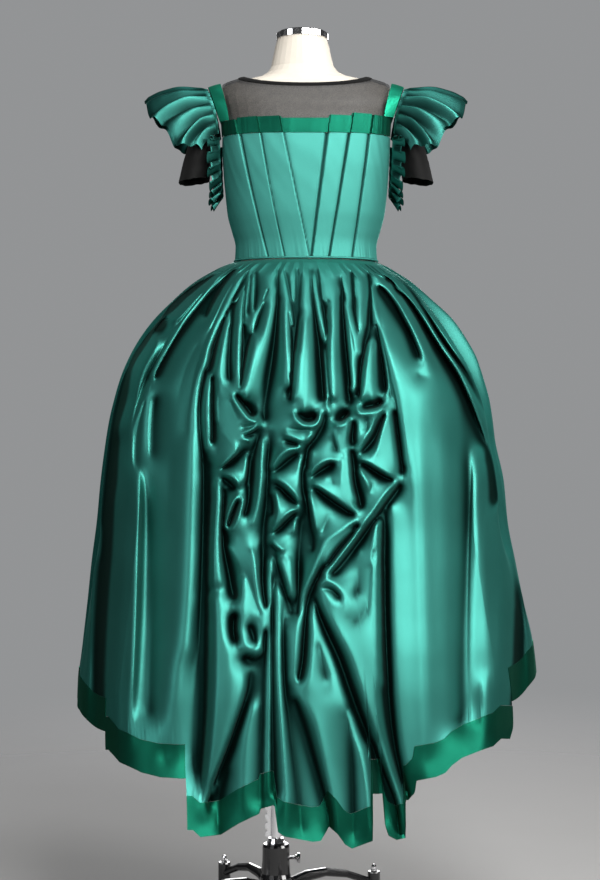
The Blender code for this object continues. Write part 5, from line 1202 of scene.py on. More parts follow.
def mesh_finish(name, cover=0.74):
    """Sheer black net: black threads with clear gaps."""
    m, nodes, links, bsdf = node_material(name)
    bsdf.inputs["Base Color"].default_value = (0.004, 0.004, 0.0045, 1)
    bsdf.inputs["Roughness"].default_value = 0.6
    bsdf.inputs["Sheen Weight"].default_value = 0.02
    shares = []
    for scale in ((620, 620, 620), (90, 90, 90)):
        shares.append(noise(nodes, links, coordinates(nodes, links, scale), 1.0, 1.0))
    mixed = nodes.new("ShaderNodeMath")
    mixed.operation = "MULTIPLY_ADD"
    links.new(shares[0], mixed.inputs[0])
    mixed.inputs[1].default_value = 0.55
    scaled = nodes.new("ShaderNodeMath")
    scaled.operation = "MULTIPLY"
    links.new(shares[1], scaled.inputs[0])
    scaled.inputs[1].default_value = 0.15
    links.new(scaled.outputs[0], mixed.inputs[2])
    add = nodes.new("ShaderNodeMath")
    add.operation = "ADD"
    add.use_clamp = True
    links.new(mixed.outputs[0], add.inputs[0])
    add.inputs[1].default_value = cover - 0.35
    links.new(add.outputs[0], bsdf.inputs["Alpha"])
    return m


def cover_finish(name):
    """Natural linen cover of the form, with a fine plain weave."""
    m, nodes, links, bsdf = node_material(name)
    v = coordinates(nodes, links)
    soft = noise(nodes, links, v, 30.0, 3.0)
    links.new(ramp(nodes, links, soft, ((0.3, (0.360, 0.326, 0.280)), (0.7, (0.384, 0.352, 0.305)))), bsdf.inputs["Base Color"])
    bsdf.inputs["Roughness"].default_value = 0.72
    grain = noise(nodes, links, coordinates(nodes, links, (1100, 1100, 1100)), 1.0, 2.0)
    bump(nodes, links, grain, 0.25, 0.0008, bsdf)
    return m


def metal(name, colour, roughness):
    m, nodes, links, bsdf = node_material(name)
    bsdf.inputs["Base Color"].default_value = (*colour, 1)
    bsdf.inputs["Metallic"].default_value = 1.0
    scratch = noise(nodes, links, coordinates(nodes, links, (60, 60, 8)), 1.0, 4.0)
    links.new(map_range(nodes, links, scratch, roughness * 0.7, roughness * 1.5), bsdf.inputs["Roughness"])
    bump(nodes, links, scratch, 0.02, 0.0006, bsdf)
    return m


def enamel(name):
    m, nodes, links, bsdf = node_material(name)
    bsdf.inputs["Base Color"].default_value = (0.006, 0.006, 0.007, 1)
    peel = noise(nodes, links, coordinates(nodes, links, (140, 140, 140)), 1.0, 2.0)
    links.new(map_range(nodes, links, peel, 0.12, 0.24), bsdf.inputs["Roughness"])
    bsdf.inputs["Coat Weight"].default_value = 0.5
    bsdf.inputs["Coat Roughness"].default_value = 0.08
    bump(nodes, links, peel, 0.06, 0.0008, bsdf)
    return m


def rubber(name):
    m, nodes, links, bsdf = node_material(name)
    grain = noise(nodes, links, coordinates(nodes, links, (400, 400, 400)), 1.0, 3.0)
    links.new(ramp(nodes, links, grain, ((0.3, (0.010, 0.010, 0.010)), (0.7, (0.022, 0.022, 0.022)))), bsdf.inputs["Base Color"])
    bsdf.inputs["Roughness"].default_value = 0.8
    bump(nodes, links, grain, 0.2, 0.0006, bsdf)
    return m


SATIN = satin("satin_finish")
# darker copy of the skirt's satin for the flutter sleeves and ruffles: painted shade
SATIN_PAINTED_SHADE = satin("satin_frill_painted_shade_finish", (0.024, 0.126, 0.108), (0.020, 0.108, 0.092), 0.42)
# lighter copy of the skirt's satin for the bodice and the waist piping: painted light
SATIN_PAINTED_LIT = satin("satin_bodice_painted_lit_finish", (0.056, 0.262, 0.227), (0.048, 0.235, 0.203), 0.66)
BAND = band_finish("band_finish")
# the band's finish made 3.6 times lighter for the straps: painted light on the same ribbed band
BAND_PAINTED_LIT = band_finish("strap_painted_lit_finish", 3.6)
MESH = mesh_finish("mesh_finish")
BLACK = black_cloth("black_cloth_finish")
# darker copy of the black cloth for the neck binding, which is lit from above: painted shade
BLACK_PAINTED_SHADE = black_cloth("binding_painted_shade_finish", 0.9, 0.0008)
COVER = cover_finish("cover_finish")
CHROME = metal("chrome_finish", (0.82, 0.82, 0.84), 0.12)
ENAMEL = enamel("black_enamel_finish")
RUBBER = rubber("rubber_finish")


# ------------------------------------------------------------------ meshes
def make_mesh(name, verts, quads, finish, body, sharp=None):
    mesh = bpy.data.meshes.new(name)
    v = np.asarray(verts, np.float32).copy()
    v[:, 1] += SHIFT_Y
    q = np.asarray(quads, np.int32)
    mesh.vertices.add(len(v))
    mesh.vertices.foreach_set("co", v.ravel())
    mesh.loops.add(q.size)
    mesh.loops.foreach_set("vertex_index", q.ravel())
    mesh.polygons.add(len(q))
    mesh.polygons.foreach_set("loop_start", np.arange(0, q.size, 4, dtype=np.int32))
    mesh.polygons.foreach_set("loop_total", np.full(len(q), 4, np.int32))
    mesh.update()
    mesh.validate()
    mesh.shade_smooth()
    if sharp is not None:
        mesh.set_sharp_from_angle(angle=math.radians(sharp))
    mesh.materials.append(finish)
    obj = bpy.data.objects.new(name, mesh)
    bpy.context.scene.collection.objects.link(obj)
    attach(obj, body)
    return obj


def grid_quads(nu, nv, ring=False, base=0, flip=False):
    i = np.arange(nu if ring else nu - 1)[:, None]
    j = np.arange(nv - 1)[None, :]
    a = (i * nv + j).ravel()
    b = (((i + 1) % nu) * nv + j).ravel()
    q = np.stack([a, b, b + 1, a + 1], axis=1) + base
    return q[:, ::-1] if flip else q


def cloth(name, points, finish, body="form", ring=False, outward=None, sharp=None):
    """Single sheet over a grid of points[i, j]."""
    nu, nv = points.shape[:2]
    quads = grid_quads(nu, nv, ring)
    if outward is not None:
        a = points[nu // 3, nv // 2]
        n = np.cross(points[nu // 3 + 1, nv // 2] - a, points[nu // 3, nv // 2 + 1] - a)
        if float(np.dot(n, outward(a))) < 0:
            quads = quads[:, ::-1]
    return make_mesh(name, points.reshape(-1, 3), quads, finish, body, sharp)


def shell(name, outer, inner, finish, body="form", ring=False, sharp=40):
    """Closed wall between two grids of points."""
    nu, nv = outer.shape[:2]
    verts = np.concatenate([outer.reshape(-1, 3), inner.reshape(-1, 3)])
    base = nu * nv
    quads = [grid_quads(nu, nv, ring), grid_quads(nu, nv, ring, base, True)]
    i = np.arange(nu if ring else nu - 1)
    for j, flip in ((0, True), (nv - 1, False)):
        a, b = i * nv + j, ((i + 1) % nu) * nv + j
        q = np.stack([a, b, b + base, a + base], axis=1)
        quads.append(q if flip else q[:, ::-1])
    if not ring:
        j = np.arange(nv - 1)
        for k, flip in ((0, False), (nu - 1, True)):
            a, b = k * nv + j, k * nv + j + 1
            q = np.stack([a, b, b + base, a + base], axis=1)
            quads.append(q if flip else q[:, ::-1])
    quads = np.concatenate(quads)
    v = verts
    a, b, c, d = (v[quads[:, k]] for k in range(4))
    volume = (np.einsum("ij,ij->i", a, np.cross(b, c)) + np.einsum("ij,ij->i", a, np.cross(c, d))).sum()
    if volume < 0:
        quads = quads[:, ::-1]
    return make_mesh(name, verts, quads, finish, body, sharp)


def away_from_axis(p):
    return np.array([p[0], p[1], 0.0])


def area_of(obj):
    co = np.zeros(len(obj.data.vertices) * 3, np.float32)
    obj.data.vertices.foreach_get("co", co)
    co = co.reshape(-1, 3)
    q = np.zeros(len(obj.data.polygons) * 4, np.int32)
    obj.data.polygons.foreach_get("vertices", q)
    q = q.reshape(-1, 4)
    a = np.cross(co[q[:, 2]] - co[q[:, 0]], co[q[:, 3]] - co[q[:, 1]])
    return float(np.linalg.norm(a, axis=1).sum() / 2)


# ------------------------------------------------------------------ skirt
# columns and rows of each panel's fine sheet
PANEL_GRID = {
    # name: (columns, rows)
    "skirt_centre_back": (250, 396), "skirt_side_back_right": (110, 230), "skirt_side_back_left": (110, 230),
    "skirt_side_front_right": (130, 180), "skirt_side_front_left": (130, 180), "skirt_centre_front": (210, 170),
}
# rows are closest where the cloth is picked up
ROW_DENSITY = (
    # z, rows per metre, relative
    (0.20, 0.55), (0.60, 0.60), (0.82, 1.25), (0.86, 1.6), (1.09, 1.6), (1.13, 1.0), (1.41, 0.9))
HEM_STEPS = (260.0, 275.8, 374.5, 383.5, 406.8, 416.2)
HEM_TURNS = (190.6, 198.5, 284.5, 321, 329, 337.6, 352.4, 389, 448)


def fine_rows(z_top, z_low, count):
    """Heights from z_top to each column's z_low, closer together where ROW_DENSITY is high.
    The rows are level above and follow the hem only low down, so a step in the hem stays there."""
    z = np.linspace(z_top, float(np.min(z_low)), 800)
    step = -np.gradient(np.interp(-z, -PROFILE_Z, PROFILE_S)) * -1.0
    weight = np.abs(step) * np.interp(z, [r[0] for r in ROW_DENSITY], [r[1] for r in ROW_DENSITY])
    total = np.concatenate([[0], np.cumsum(weight[1:])])
    low = np.interp(-np.asarray(z_low), -z, total)
    share = np.linspace(0, 1, count)
    level = float(np.mean(low))
    want = level * share[None, :] + (low - level)[:, None] * share[None, :] ** 5
    return np.interp(want, total, z)


def fine_columns(name, left, right, count):
    shares = np.linspace(0, 1, count)
    if name != "skirt_centre_back":
        return shares
    a = np.linspace(left[1], right[1], 500)
    across, _ = on_elevation(skirt_base(a, np.full(500, 0.33)))
    extra = []
    for x in HEM_STEPS:
        share = (float(np.interp(float(grid_across(x)), across, a)) - left[1]) / (right[1] - left[1])
        extra += [share - 0.004, share + 0.004]
    for x in HEM_TURNS:
        share = (float(np.interp(float(grid_across(x)), across, a)) - left[1]) / (right[1] - left[1])
        if 0.004 < share < 0.996:
            extra.append(share)
    for e in extra:
        k = int(np.argmin(np.abs(shares[1:-1] - e))) + 1
        shares[k] = e
    return np.sort(shares)


def panel_grid(name, left, right, part):
    columns, rows = PANEL_GRID[name]
    shares = fine_columns(name, left, right, columns)
    a_top = left[0] + (right[0] - left[0]) * shares
    a_hem = left[1] + (right[1] - left[1]) * shares
    hem = hem_height(name, a_hem)
    for _ in range(3):
        hem = hem_height(name, a_top + (a_hem - a_top) * seam_share(hem))
    band_top = hem + BAND_HEIGHT
    if part == "":
        z = fine_rows(WAIST_Z - 0.0010, band_top + 0.0002, rows)
    else:
        z = band_top[:, None] - BAND_HEIGHT * np.linspace(0, 1, 9)[None, :]
    angle = a_top[:, None] + (a_hem - a_top)[:, None] * seam_share(z)
    return angle, z, band_top


def build_skirt():
    for name, left, right, _count in SKIRT_PANELS:
        angle, z, band_top = panel_grid(name, left, right, "")
        pucker = pucker_relief(angle, z, band_top[:, None])
        p = skirt_point(angle, z, pucker)
        obj = cloth(name + "_cloth", p, SATIN, outward=away_from_axis)
        # painted shade in the hollows of the folds, kept as a vertex attribute that darkens the satin
        shade = obj.data.attributes.new("painted_hollow_shade", "FLOAT", "POINT")
        shade.data.foreach_set("value", painted_shade_share(angle, z).astype(np.float32).ravel())
        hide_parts(name)
        angle, z, band_top = panel_grid(name, left, right, "_hem_band")
        outer = skirt_point(angle, z)
        flat = surface_normals(skirt_base, angle, z, 0.5, -0.004)
        normal = surface_normals(skirt_point, angle, z, 0.7, -0.008) * 0.6 + flat * 0.4
        normal /= np.linalg.norm(normal, axis=-1, keepdims=True)
        outer = outer + normal * 0.0006
        band = shell(name + "_band_cloth", outer, outer - normal * 0.0018, BAND)
        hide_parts(name + "_hem_band")


# ------------------------------------------------------------------ bodice
PLEAT_DEPTH = 0.0052


PLEAT_GAPS = (
    # side that the gap lies on, half width (m), depth (mm), bow (m)
    (1, 0.0022, 3.4, 0.0045), (1, 0.0016, 2.8, 0.0040), (1, 0.0014, 2.0, 0.0),
    (-1, 0.0030, 5.0, 0.0), (-1, 0.0025, 4.2, -0.0015), (-1, 0.0022, 3.6, -0.0020),
)


def pleat_gap(across, up):
    """Depth of the gap beside each pleat's free edge; wider at the top."""
    f = np.clip((up - grid_up(256)) / (grid_up(133) - grid_up(256)), 0, 1.3)
    total = np.zeros_like(across)
    for (top_x, waist_x, _free), (side, half, depth, bow) in zip(PLEATS, PLEAT_GAPS):
        edge = float(grid_across(waist_x)) + (float(grid_across(top_x)) - float(grid_across(waist_x))) * f
        middle = edge + side * half * 0.9 - bow * np.sin(PI * np.clip(f, 0, 1)) * 0.5
        wide = half * (0.55 + 0.45 * f)
        total = np.maximum(total, depth * 0.001 * np.exp(-((across - middle) / wide) ** 2))
    return total


def pleat_painted_shade(angle, z):
    """Painted shade in a gap between two pleats, by how deep a place lies: a dark core and a soft edge."""
    across, up = on_elevation(bodice_base(angle, z))
    f = np.clip((up - grid_up(256)) / (grid_up(133) - grid_up(256)), 0, 1.3)
    total = np.zeros_like(across)
    for (top_x, waist_x, _free), (side, half, _depth, bow) in zip(PLEATS, PLEAT_GAPS):
        edge = float(grid_across(waist_x)) + (float(grid_across(top_x)) - float(grid_across(waist_x))) * f
        away = (across - edge + bow * np.sin(PI * np.clip(f, 0, 1)) * 0.5) * side
        core = 0.95 * np.exp(-((away - half * 0.9) / np.maximum(half * (0.40 + 0.45 * f), 0.0013)) ** 2)
        soft = 0.34 * smooth_step(away, 0.0, half) * (1 - smooth_step(away, half, 0.0135)) * (0.45 + 0.55 * f)
        total = np.maximum(total, np.maximum(core, soft))
    return total * smooth_step(np.cos(np.radians(angle)), 0.05, 0.3)


def bodice_cloth_point(angle, z):
    base = bodice_base(angle, z)
    n = surface_normals(bodice_base, angle, z, 0.5, 0.002)
    across, up = on_elevation(base)
    near = smooth_step(np.cos(np.radians(angle)), 0.05, 0.3)
    share = pleat_share(across, up)
    # each pleat lies nearly level, rolls over at its free edge and leaves a gap before the next
    rise = PLEAT_DEPTH * (0.55 * share + 0.10 * share ** 6) * near
    rise = rise - pleat_gap(across, up) * near
    t = np.radians(angle)
    front = PLEAT_DEPTH * (1 - near) * (np.clip(0.5 + 0.5 * np.cos(t * 14), 0, 1) ** 2.0) * 0.8 * \
        smooth_step(-np.cos(t), 0.2, 0.5)
    # soft drag lines above the waist and under the band
    waist = np.exp(-(z - WAIST_Z) / 0.030)
    drag = 0.0009 * uneven(t * 22 + (z - WAIST_Z) * 18, 4.0) * waist
    drag = drag + 0.0008 * uneven(t * 9 + z * 30, 7.0) * smooth_step(z, 1.46, 1.60)
    return base + n * (rise + front + drag + 0.0002)[..., None]


def build_bodice():
    waist = WAIST_Z + 0.0045
    seam = 89.85
    share = np.linspace(0, 1, 90)
    angle = np.linspace(-seam, seam, 420)
    top = armhole_top(angle)
    z = waist + (top[:, None] - waist) * share[None, :]
    p = bodice_cloth_point(angle[:, None] + 0 * z, z)
    obj = cloth("bodice_back_cloth", p, SATIN_PAINTED_LIT, outward=away_from_axis)
    # painted shade in the gaps beside the pleats, kept as a vertex attribute that darkens the satin
    shade = obj.data.attributes.new("painted_hollow_shade", "FLOAT", "POINT")
    shade.data.foreach_set("value", pleat_painted_shade(angle[:, None] + 0 * z, z).astype(np.float32).ravel())
    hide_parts("bodice_back")
    angle = np.linspace(90.15, 360 - 90.15, 260)
    top = armhole_top(angle)
    z = waist + (top[:, None] - waist) * share[None, :]
    p = bodice_cloth_point(angle[:, None] + 0 * z, z)
    obj = cloth("bodice_front_cloth", p, SATIN_PAINTED_LIT, outward=away_from_axis)
    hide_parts("bodice_front")
    # pleated top band, stepped at each pleat
    for name, a0, a1, count in (("top_band_back", -73.0, 73.0, 300), ("top_band_front", 107.0, 253.0, 160)):
        angle = np.linspace(a0, a1, count)
        if name == "top_band_back":
            marks = pleat_angles(1.677)
            steps = np.array([BAND_STEPS[sum(1 for m in marks if a > m)] for a in angle])
        else:
            steps = np.zeros(count)
        rows = np.linspace(0, 1, 9)
        z = BODICE_TOP_Z + 0.0006 + rows[None, :] * (TOP_BAND_HEIGHT + steps)[:, None]
        ang = angle[:, None] + 0 * z
        base = bodice_base(ang, z)
        flat = surface_normals(bodice_base, ang, z, 0.5, 0.004)
        across, up = on_elevation(base)
        near = smooth_step(np.cos(np.radians(ang)), 0.05, 0.3)
        share = pleat_share(across, up) * near
        outer = base + flat * (0.0012 + PLEAT_DEPTH * share ** 1.6 + 0.0005 * uneven(ang * 0.4, 3.0))[..., None]
        band = shell(name + "_cloth", outer, outer - flat * 0.0016, BAND, sharp=50)
        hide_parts(name)
    # piping in the waist seam
    angles = np.linspace(0, 360, 220, endpoint=False)
    base = bodice_base(angles, np.full(220, waist))
    flat = surface_normals(bodice_base, angles, np.full(220, waist), 0.5, 0.004)
    flat[:, 2] = 0
    flat /= np.linalg.norm(flat, axis=-1, keepdims=True)
    ring = []
    for k in range(10):
        t = 2 * PI * k / 10
        p = base + flat * (0.0016 + 0.0019 * math.cos(t))
        p[:, 2] = waist - 0.0022 + 0.0019 * math.sin(t)
        ring.append(p)
    grid = np.stack(ring + [ring[0]], axis=1)
    piping = cloth("waist_piping_cloth", grid, SATIN_PAINTED_LIT, ring=True)
    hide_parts("waist_piping")


def pleat_angles(z):
    """Angles of the pleats' edges at a height."""
    a = np.linspace(-86, 86, 345)
    p = bodice_base(a, np.full(a.shape, z))
    across, up = on_elevation(p)
    f = np.clip((up - grid_up(256)) / (grid_up(133) - grid_up(256)), 0, 1.3)
    found = []
    for top_x, waist_x, _free in PLEATS:
        edge = grid_across(waist_x) + (grid_across(top_x) - grid_across(waist_x)) * f
        found.append(float(np.interp(0.0, across - edge, a)))
    return found


# ------------------------------------------------------------------ yoke, straps
def build_yoke():
    for name, middle, start in (("yoke_back", 0.0, 1.6930), ("yoke_front", 180.0, 1.6880)):
        rows = np.linspace(0, 1, 30)
        count = 60
        share = np.sin(np.linspace(-1, 1, count + 1) * PI / 2 * 0.8) / math.sin(PI / 2 * 0.8)
        p = np.zeros((count + 1, len(rows), 3))
        for j, f in enumerate(rows):
            a = share * yoke_side_limit(start + (1.7835 - start) * f)
            z = start + (neckline(a + middle) + 0.0035 - start) * f
            # it goes in behind the top band
            skin = torso_skin(a + middle, z, 0.0056)
            out = surface_normals(bodice_base, a + middle, np.minimum(z, 1.690), 0.5, 0.004)
            band = bodice_base(a + middle, np.minimum(z, 1.690)) - out * 0.0022
            band[:, 2] = z
            low = (1 - smooth_step(z, start + 0.001, start + 0.030))[:, None]
            p[:, j] = skin * (1 - low) + band * low
        obj = cloth(name + "_net", p, MESH, outward=away_from_axis)
        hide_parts(name)
    angles = np.linspace(0, 360, 160, endpoint=False)
    grid = np.zeros((160, 9, 3))
    for i, a in enumerate(angles):
        z = float(neckline(np.array(a)))
        high = 0.0050 + 0.0052 * math.cos(math.radians(a)) ** 2
        for k in range(9):
            t = 2 * PI * k / 8
            grid[i, k] = torso_skin(a, z + 0.0020 + (high - 0.0020) * (0.5 + 0.5 * math.sin(t)), 0.0061 + 0.0013 * math.cos(t))
    binding = cloth("neck_binding_cloth", grid, BLACK_PAINTED_SHADE, ring=True)
    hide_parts("neck_binding")
    for side, name, start in ((1, "strap_left", 0.0), (-1, "strap_right", 0.050)):
        share, across = np.meshgrid(np.linspace(start, 1, 90), np.linspace(0, 1, 9), indexing="ij")
        p = strap_point(share, across)
        n = surface_normals(strap_point, share, across, 0.01, 0.05)
        if n[40, 4, 2] < 0:
            n = -n
        crown = 0.0008 * (1 - (2 * across - 1) ** 2) + 0.0003 * uneven(share * 30, 2.0 + side)
        p = p + n * crown[..., None]
        flip = np.array([side, 1, 1], float)
        strap = shell(name + "_cloth", (p + n * 0.0016) * flip, p * flip, BAND_PAINTED_LIT)
        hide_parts(name)


# ------------------------------------------------------------------ sleeves
# folds that fan out over the flutter sleeve, from the gathered seam to its free edge
FLUTTER_FOLDS = (
    # share at seam, share at edge, height (mm), width (share)
    (0.045, 0.030, 11, 0.046), (0.125, 0.125, 15, 0.050), (0.210, 0.225, 12, 0.046), (0.300, 0.325, 18, 0.056),
    (0.400, 0.430, 15, 0.052), (0.500, 0.530, 17, 0.054), (0.600, 0.635, 14, 0.050), (0.700, 0.735, 16, 0.054),
    (0.795, 0.825, 13, 0.048), (0.880, 0.900, 14, 0.050), (0.960, 0.970, 10, 0.044),
)


def flutter_folds(share, reach):
    """Height of the folds in metres, and how near to a crest a place lies."""
    up, near = np.zeros_like(share), np.zeros_like(share)
    for s0, s1, height, width in FLUTTER_FOLDS:
        middle = s0 + (s1 - s0) * reach
        q = np.abs(share - middle) / (width * (0.82 + 0.18 * reach))
        bell = 0.5 + 0.5 * np.cos(PI * np.minimum(q, 1.0))
        up = up + height * 0.001 * bell
        near = np.maximum(near, bell * (0.75 + height / 72.0))
    return up, near


# painted shade in the valleys between the folds, less of it toward the free edge
def flutter_painted_shade(share, reach):
    up, near = flutter_folds(share, reach)
    return (1 - near) ** 0.6 * smooth_step(reach, 0.0, 0.08) * (1.0 - 0.30 * smooth_step(reach, 0.5, 1.0))


def flutter_cloth_point(share, reach):
    p = flutter_point(share, reach)
    up, near = flutter_folds(share, reach)
    up = up * (0.20 + 0.80 * smooth_step(reach, 0.0, 0.55)) * smooth_step(reach, 0.0, 0.10) * (1.0 - 0.28 * smooth_step(reach, 0.75, 1.0))
    fine = 0.0030 * np.abs(np.sin(share * 62 + 1.6 * uneven(share * 24, 6.0))) * np.exp(-reach / 0.26)
    p[..., 2] += up * 0.95 + fine - 0.005
    p[..., 1] += (up * 0.5 - 0.002) * np.cos(share * PI) * -1.0
    # the free edge is narrowly hemmed and rolls under
    p[..., 2] -= 0.0045 * smooth_step(reach, 0.90, 1.0) ** 2
    p[..., 0] += 0.0012 * smooth_step(reach, 0.96, 1.0)
    return p


def build_sleeves():
    columns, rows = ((330, 44))
    share, reach = np.meshgrid(np.linspace(0, 1, columns), np.linspace(0.0, 1, rows), indexing="ij")
    p = flutter_cloth_point(share, reach)
    for side, name in ((1, "flutter_sleeve_left"), (-1, "flutter_sleeve_right")):
        flip = np.array([side, 1, 1], float)
        obj = cloth(name + "_cloth", p * flip, SATIN_PAINTED_SHADE, outward=lambda a: np.array([0, 0, 1.0]))
        # painted shade of the folds, as a vertex attribute
        shade = obj.data.attributes.new("painted_hollow_shade", "FLOAT", "POINT")
        shade.data.foreach_set("value", flutter_painted_shade(share, reach).astype(np.float32).ravel())
        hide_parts(name)
    rows = (
        # x,      z,     half width, half depth
        (-0.2040, 1.7400, 0.0060, 0.036),
        (-0.2080, 1.7060, 0.0160, 0.052),
        (-0.2170, 1.6680, 0.0250, 0.062),
        (-0.2270, 1.6200, 0.0310, 0.062),
        (-0.2350, 1.5770, 0.0325, 0.058),
    )
    angles = np.linspace(0, 360, 96, endpoint=False)
    heights = np.linspace(0, 1, 40)
    for side, name in ((1, "short_sleeve_left"), (-1, "short_sleeve_right")):
        grid = np.zeros((96, 40, 3))
        for j, f in enumerate(heights):
            x, z, w, d = (float(np.interp(f, np.linspace(0, 1, 5), [r[c] for r in rows])) for c in range(4))
            a = np.radians(angles)
            wrinkle = 0.0016 * uneven(a * 2 + f * 9, 8.0) * math.sin(PI * min(f * 1.2, 1.0))
            grid[:, j, 0] = (x + (w + wrinkle) * np.cos(a)) * side
            grid[:, j, 1] = (d + wrinkle) * np.sin(a)
            grid[:, j, 2] = z + 0.10 * w * np.cos(a) - (0.002 * uneven(a * 3, 9.0) if j > 36 else 0)
        obj = cloth(name + "_cloth", grid, BLACK, ring=True)
        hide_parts(name)


RUFFLE_CURLS = 14


def ruffle_cloth_point(share, reach):
    seam = seam_curve(RUFFLE_LINE, share)
    p = seam.copy()
    t = share * 2 * PI * RUFFLE_CURLS + 2.3 * uneven(share * 15, 3.0)
    back = np.cos(PI * share)
    wide = RUFFLE_WIDTH + 0.004 + 0.005 * uneven(share * 17, 5.0)
    # it stands out sideways and away from the armhole, and its edge meanders
    p[..., 0] += 0.004 * (1 - reach) - wide * reach * 0.66
    p[..., 1] -= wide * reach * 0.60 * back
    swing = 0.0052 + 0.0034 * uneven(share * 13, 7.0)
    p[..., 0] += swing * np.sin(t) * reach ** 0.8
    p[..., 2] += 0.0052 * np.sin(2 * t + 0.5) * reach - 0.024 * np.sin(PI * share) * reach ** 1.2
    p[..., 1] += 0.0075 * np.sin(t + 0.9) * reach
    return p


# painted shade where the ruffle curls in, taken off near its free edge, which then shows lighter
def ruffle_painted_shade(share, reach):
    t = share * 2 * PI * RUFFLE_CURLS + 2.3 * uneven(share * 15, 3.0)
    fold = (0.5 + 0.5 * np.sin(t + 0.6)) ** 0.8 * smooth_step(reach, 0.02, 0.30)
    return fold * 0.95 * (1 - 0.8 * smooth_step(reach, 0.84, 0.97))


def build_ruffles():
    share, reach = np.meshgrid(np.linspace(0, 1, 560), np.linspace(0.03, 1, 14), indexing="ij")
    p = ruffle_cloth_point(share, reach)
    for side, name in ((1, "armhole_ruffle_left"), (-1, "armhole_ruffle_right")):
        flip = np.array([side, 1, 1], float)
        obj = cloth(name + "_cloth", p * flip, SATIN_PAINTED_SHADE)
        # painted shade of the curls, as a vertex attribute
        shade = obj.data.attributes.new("painted_hollow_shade", "FLOAT", "POINT")
        shade.data.foreach_set("value", ruffle_painted_shade(share, reach).astype(np.float32).ravel())
        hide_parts(name)


# ------------------------------------------------------------------ finish of the plain solids
def finish_solids():
    table = {
        "torso": COVER, "neck_cap": CHROME, "lift_pole": CHROME, "outer_tube": CHROME, "notched_strip": CHROME,
        "collar": CHROME, "thumb_screw": CHROME, "hub": ENAMEL, "lift_collar": ENAMEL,
    }
    for k in range(1, 5):
        table["leg_%d" % k] = ENAMEL
        table["nut_%d" % k] = CHROME
        table["foot_%d" % k] = RUBBER
    for name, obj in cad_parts.items():
        m = table.get(name)
        if m is not None:
            for s in obj.material_slots:
                s.material = m


# ------------------------------------------------------------------ studio
def plain(name, colour, roughness):
    m, nodes, links, bsdf = node_material(name)
    soft = noise(nodes, links, coordinates(nodes, links), 3.0, 2.0)
    links.new(ramp(nodes, links, soft, ((0.3, tuple(c * 0.98 for c in colour)), (0.7, colour))), bsdf.inputs["Base Color"])
    bsdf.inputs["Roughness"].default_value = roughness
    return m


FLOOR_RADIUS = 6.5          # the floor fades out toward its rim


def studio():
    verts, faces = [(0.0, 0.0, 0.0)], []
    count = 72
    for k in range(count):
        t = 2 * PI * k / count
        verts.append((FLOOR_RADIUS * math.cos(t), FLOOR_RADIUS * math.sin(t), 0.0))
    for k in range(count):
        faces.append((0, 1 + k, 1 + (k + 1) % count))
    mesh = bpy.data.meshes.new("studio_floor")
    mesh.from_pydata(verts, [], faces)
    m = plain("studio_finish", (0.235, 0.232, 0.230), 0.9)
    nodes, links = m.node_tree.nodes, m.node_tree.links
    far = nodes.new("ShaderNodeVectorMath")
    far.operation = "LENGTH"
    links.new(nodes.new("ShaderNodeTexCoord").outputs["Object"], far.inputs[0])
    fade = nodes.new("ShaderNodeMapRange")
    fade.interpolation_type = "SMOOTHSTEP"
    for socket, value in (("From Min", 0.8), ("From Max", 4.6), ("To Min", 1.0), ("To Max", 0.0)):
        fade.inputs[socket].default_value = value
    links.new(far.outputs["Value"], fade.inputs["Value"])
    links.new(fade.outputs["Result"], nodes["Principled BSDF"].inputs["Alpha"])
    mesh.materials.append(m)
    floor = bpy.data.objects.new("studio_floor", mesh)
    bpy.context.scene.collection.objects.link(floor)


LIGHTS = (
    # name, place, aimed at, width, height, watts, colour
    ("key", (1.4, -4.4, 2.1), (0.0, 0.0, 1.05), 2.0, 2.0, 208.0, (1.0, 0.99, 0.97)),
    ("high", (0.9, -3.2, 3.9), (0.0, 0.0, 1.15), 1.5, 2.0, 255.0, (1.0, 1.0, 0.99)),
    ("overhead", (0.35, -0.7, 4.7), (0.1, -0.25, 1.2), 1.5, 2.8, 95.0, (1.0, 1.0, 1.0)),
    ("side_right", (3.2, -2.0, 2.4), (0.0, 0.0, 1.05), 1.3, 1.7, 185.0, (1.0, 0.99, 0.97)),
    ("side_left", (-3.0, -2.6, 1.7), (0.0, 0.0, 1.0), 1.6, 3.0, 72.0, (0.97, 0.99, 1.0)),
    ("far_side", (0.3, 4.6, 1.9), (0.0, 0.0, 1.0), 2.2, 2.0, 130.0, (1.0, 1.0, 1.0)),
    ("back_left", (-2.4, 1.9, 2.3), (0.0, 0.0, 1.3), 0.8, 1.8, 5.0, (1.0, 1.0, 1.0)),
    ("back_right", (2.4, 1.9, 2.3), (0.0, 0.0, 1.3), 0.8, 1.8, 9.0, (1.0, 1.0, 1.0)),
)


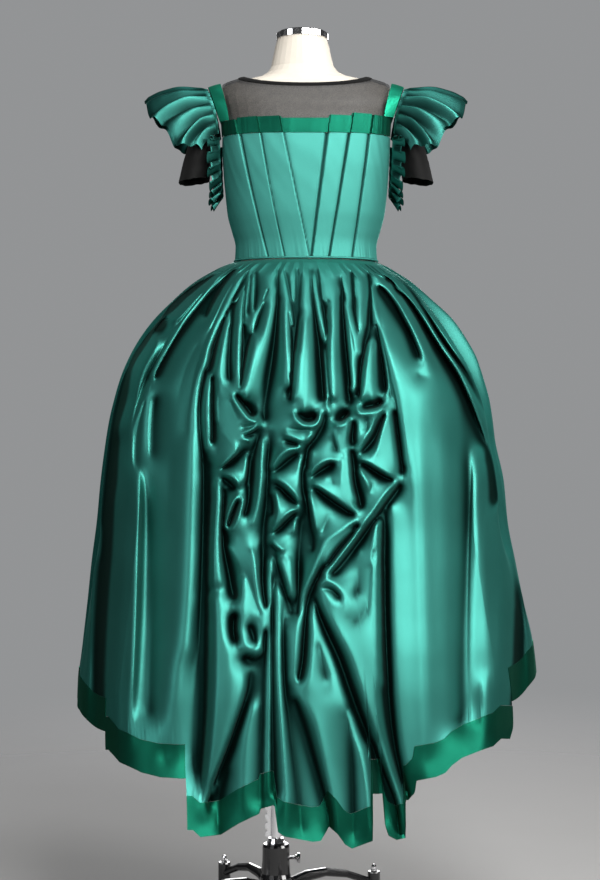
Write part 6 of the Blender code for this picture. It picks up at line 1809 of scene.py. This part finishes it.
def aim(obj, target):
    d = np.array(target, float) - np.array(obj.location, float)
    yaw = math.atan2(-d[0], d[1])
    pitch = math.atan2(d[2], math.hypot(d[0], d[1]))
    obj.rotation_euler = (PI / 2 + pitch, 0.0, yaw)


def lights_and_camera():
    for name, place, target, width, height, watts, colour in LIGHTS:
        data = bpy.data.lights.new(name, "AREA")
        data.shape = "RECTANGLE"
        data.size, data.size_y = width, height
        data.energy = watts
        data.color = colour
        obj = bpy.data.objects.new(name, data)
        obj.location = place
        obj.visible_camera = False
        aim(obj, target)
        bpy.context.scene.collection.objects.link(obj)
    world = bpy.data.worlds.new("studio")
    world.use_nodes = True
    nodes, links = world.node_tree.nodes, world.node_tree.links
    sky = nodes.new("ShaderNodeTexCoord")
    split = nodes.new("ShaderNodeSeparateXYZ")
    links.new(sky.outputs["Generated"], split.inputs["Vector"])
    # a dim room with a pale grey end beyond the object
    level = nodes.new("ShaderNodeMapRange")
    level.interpolation_type = "SMOOTHSTEP"
    for socket, value in (("From Min", 0.80), ("From Max", 0.965), ("To Min", 0.036), ("To Max", 0.362)):
        level.inputs[socket].default_value = value
    links.new(split.outputs["Y"], level.inputs["Value"])
    links.new(level.outputs["Result"], nodes["Background"].inputs["Strength"])
    nodes["Background"].inputs["Color"].default_value = (0.96, 0.98, 1.0, 1)
    bpy.context.scene.world = world
    camera = bpy.data.cameras.new("camera")
    camera.sensor_width = 36.0
    camera.lens = 2000.0 / 880.0 * 36.0
    obj = bpy.data.objects.new("camera", camera)
    obj.location = (EYE_X, -EYE_DISTANCE + SHIFT_Y, EYE_HEIGHT)
    obj.rotation_euler = (PI / 2, 0, 0)
    bpy.context.scene.collection.objects.link(obj)
    bpy.context.scene.camera = obj
    # plain tone curve, as a camera's own picture has
    bpy.context.scene.view_settings.view_transform = "Standard"
    bpy.context.scene.view_settings.look = "None"
    bpy.context.scene.view_settings.exposure = -0.26


# ------------------------------------------------------------------ build
build_skirt()
build_bodice()
build_yoke()
build_sleeves()
build_ruffles()
finish_solids()
studio()
lights_and_camera()
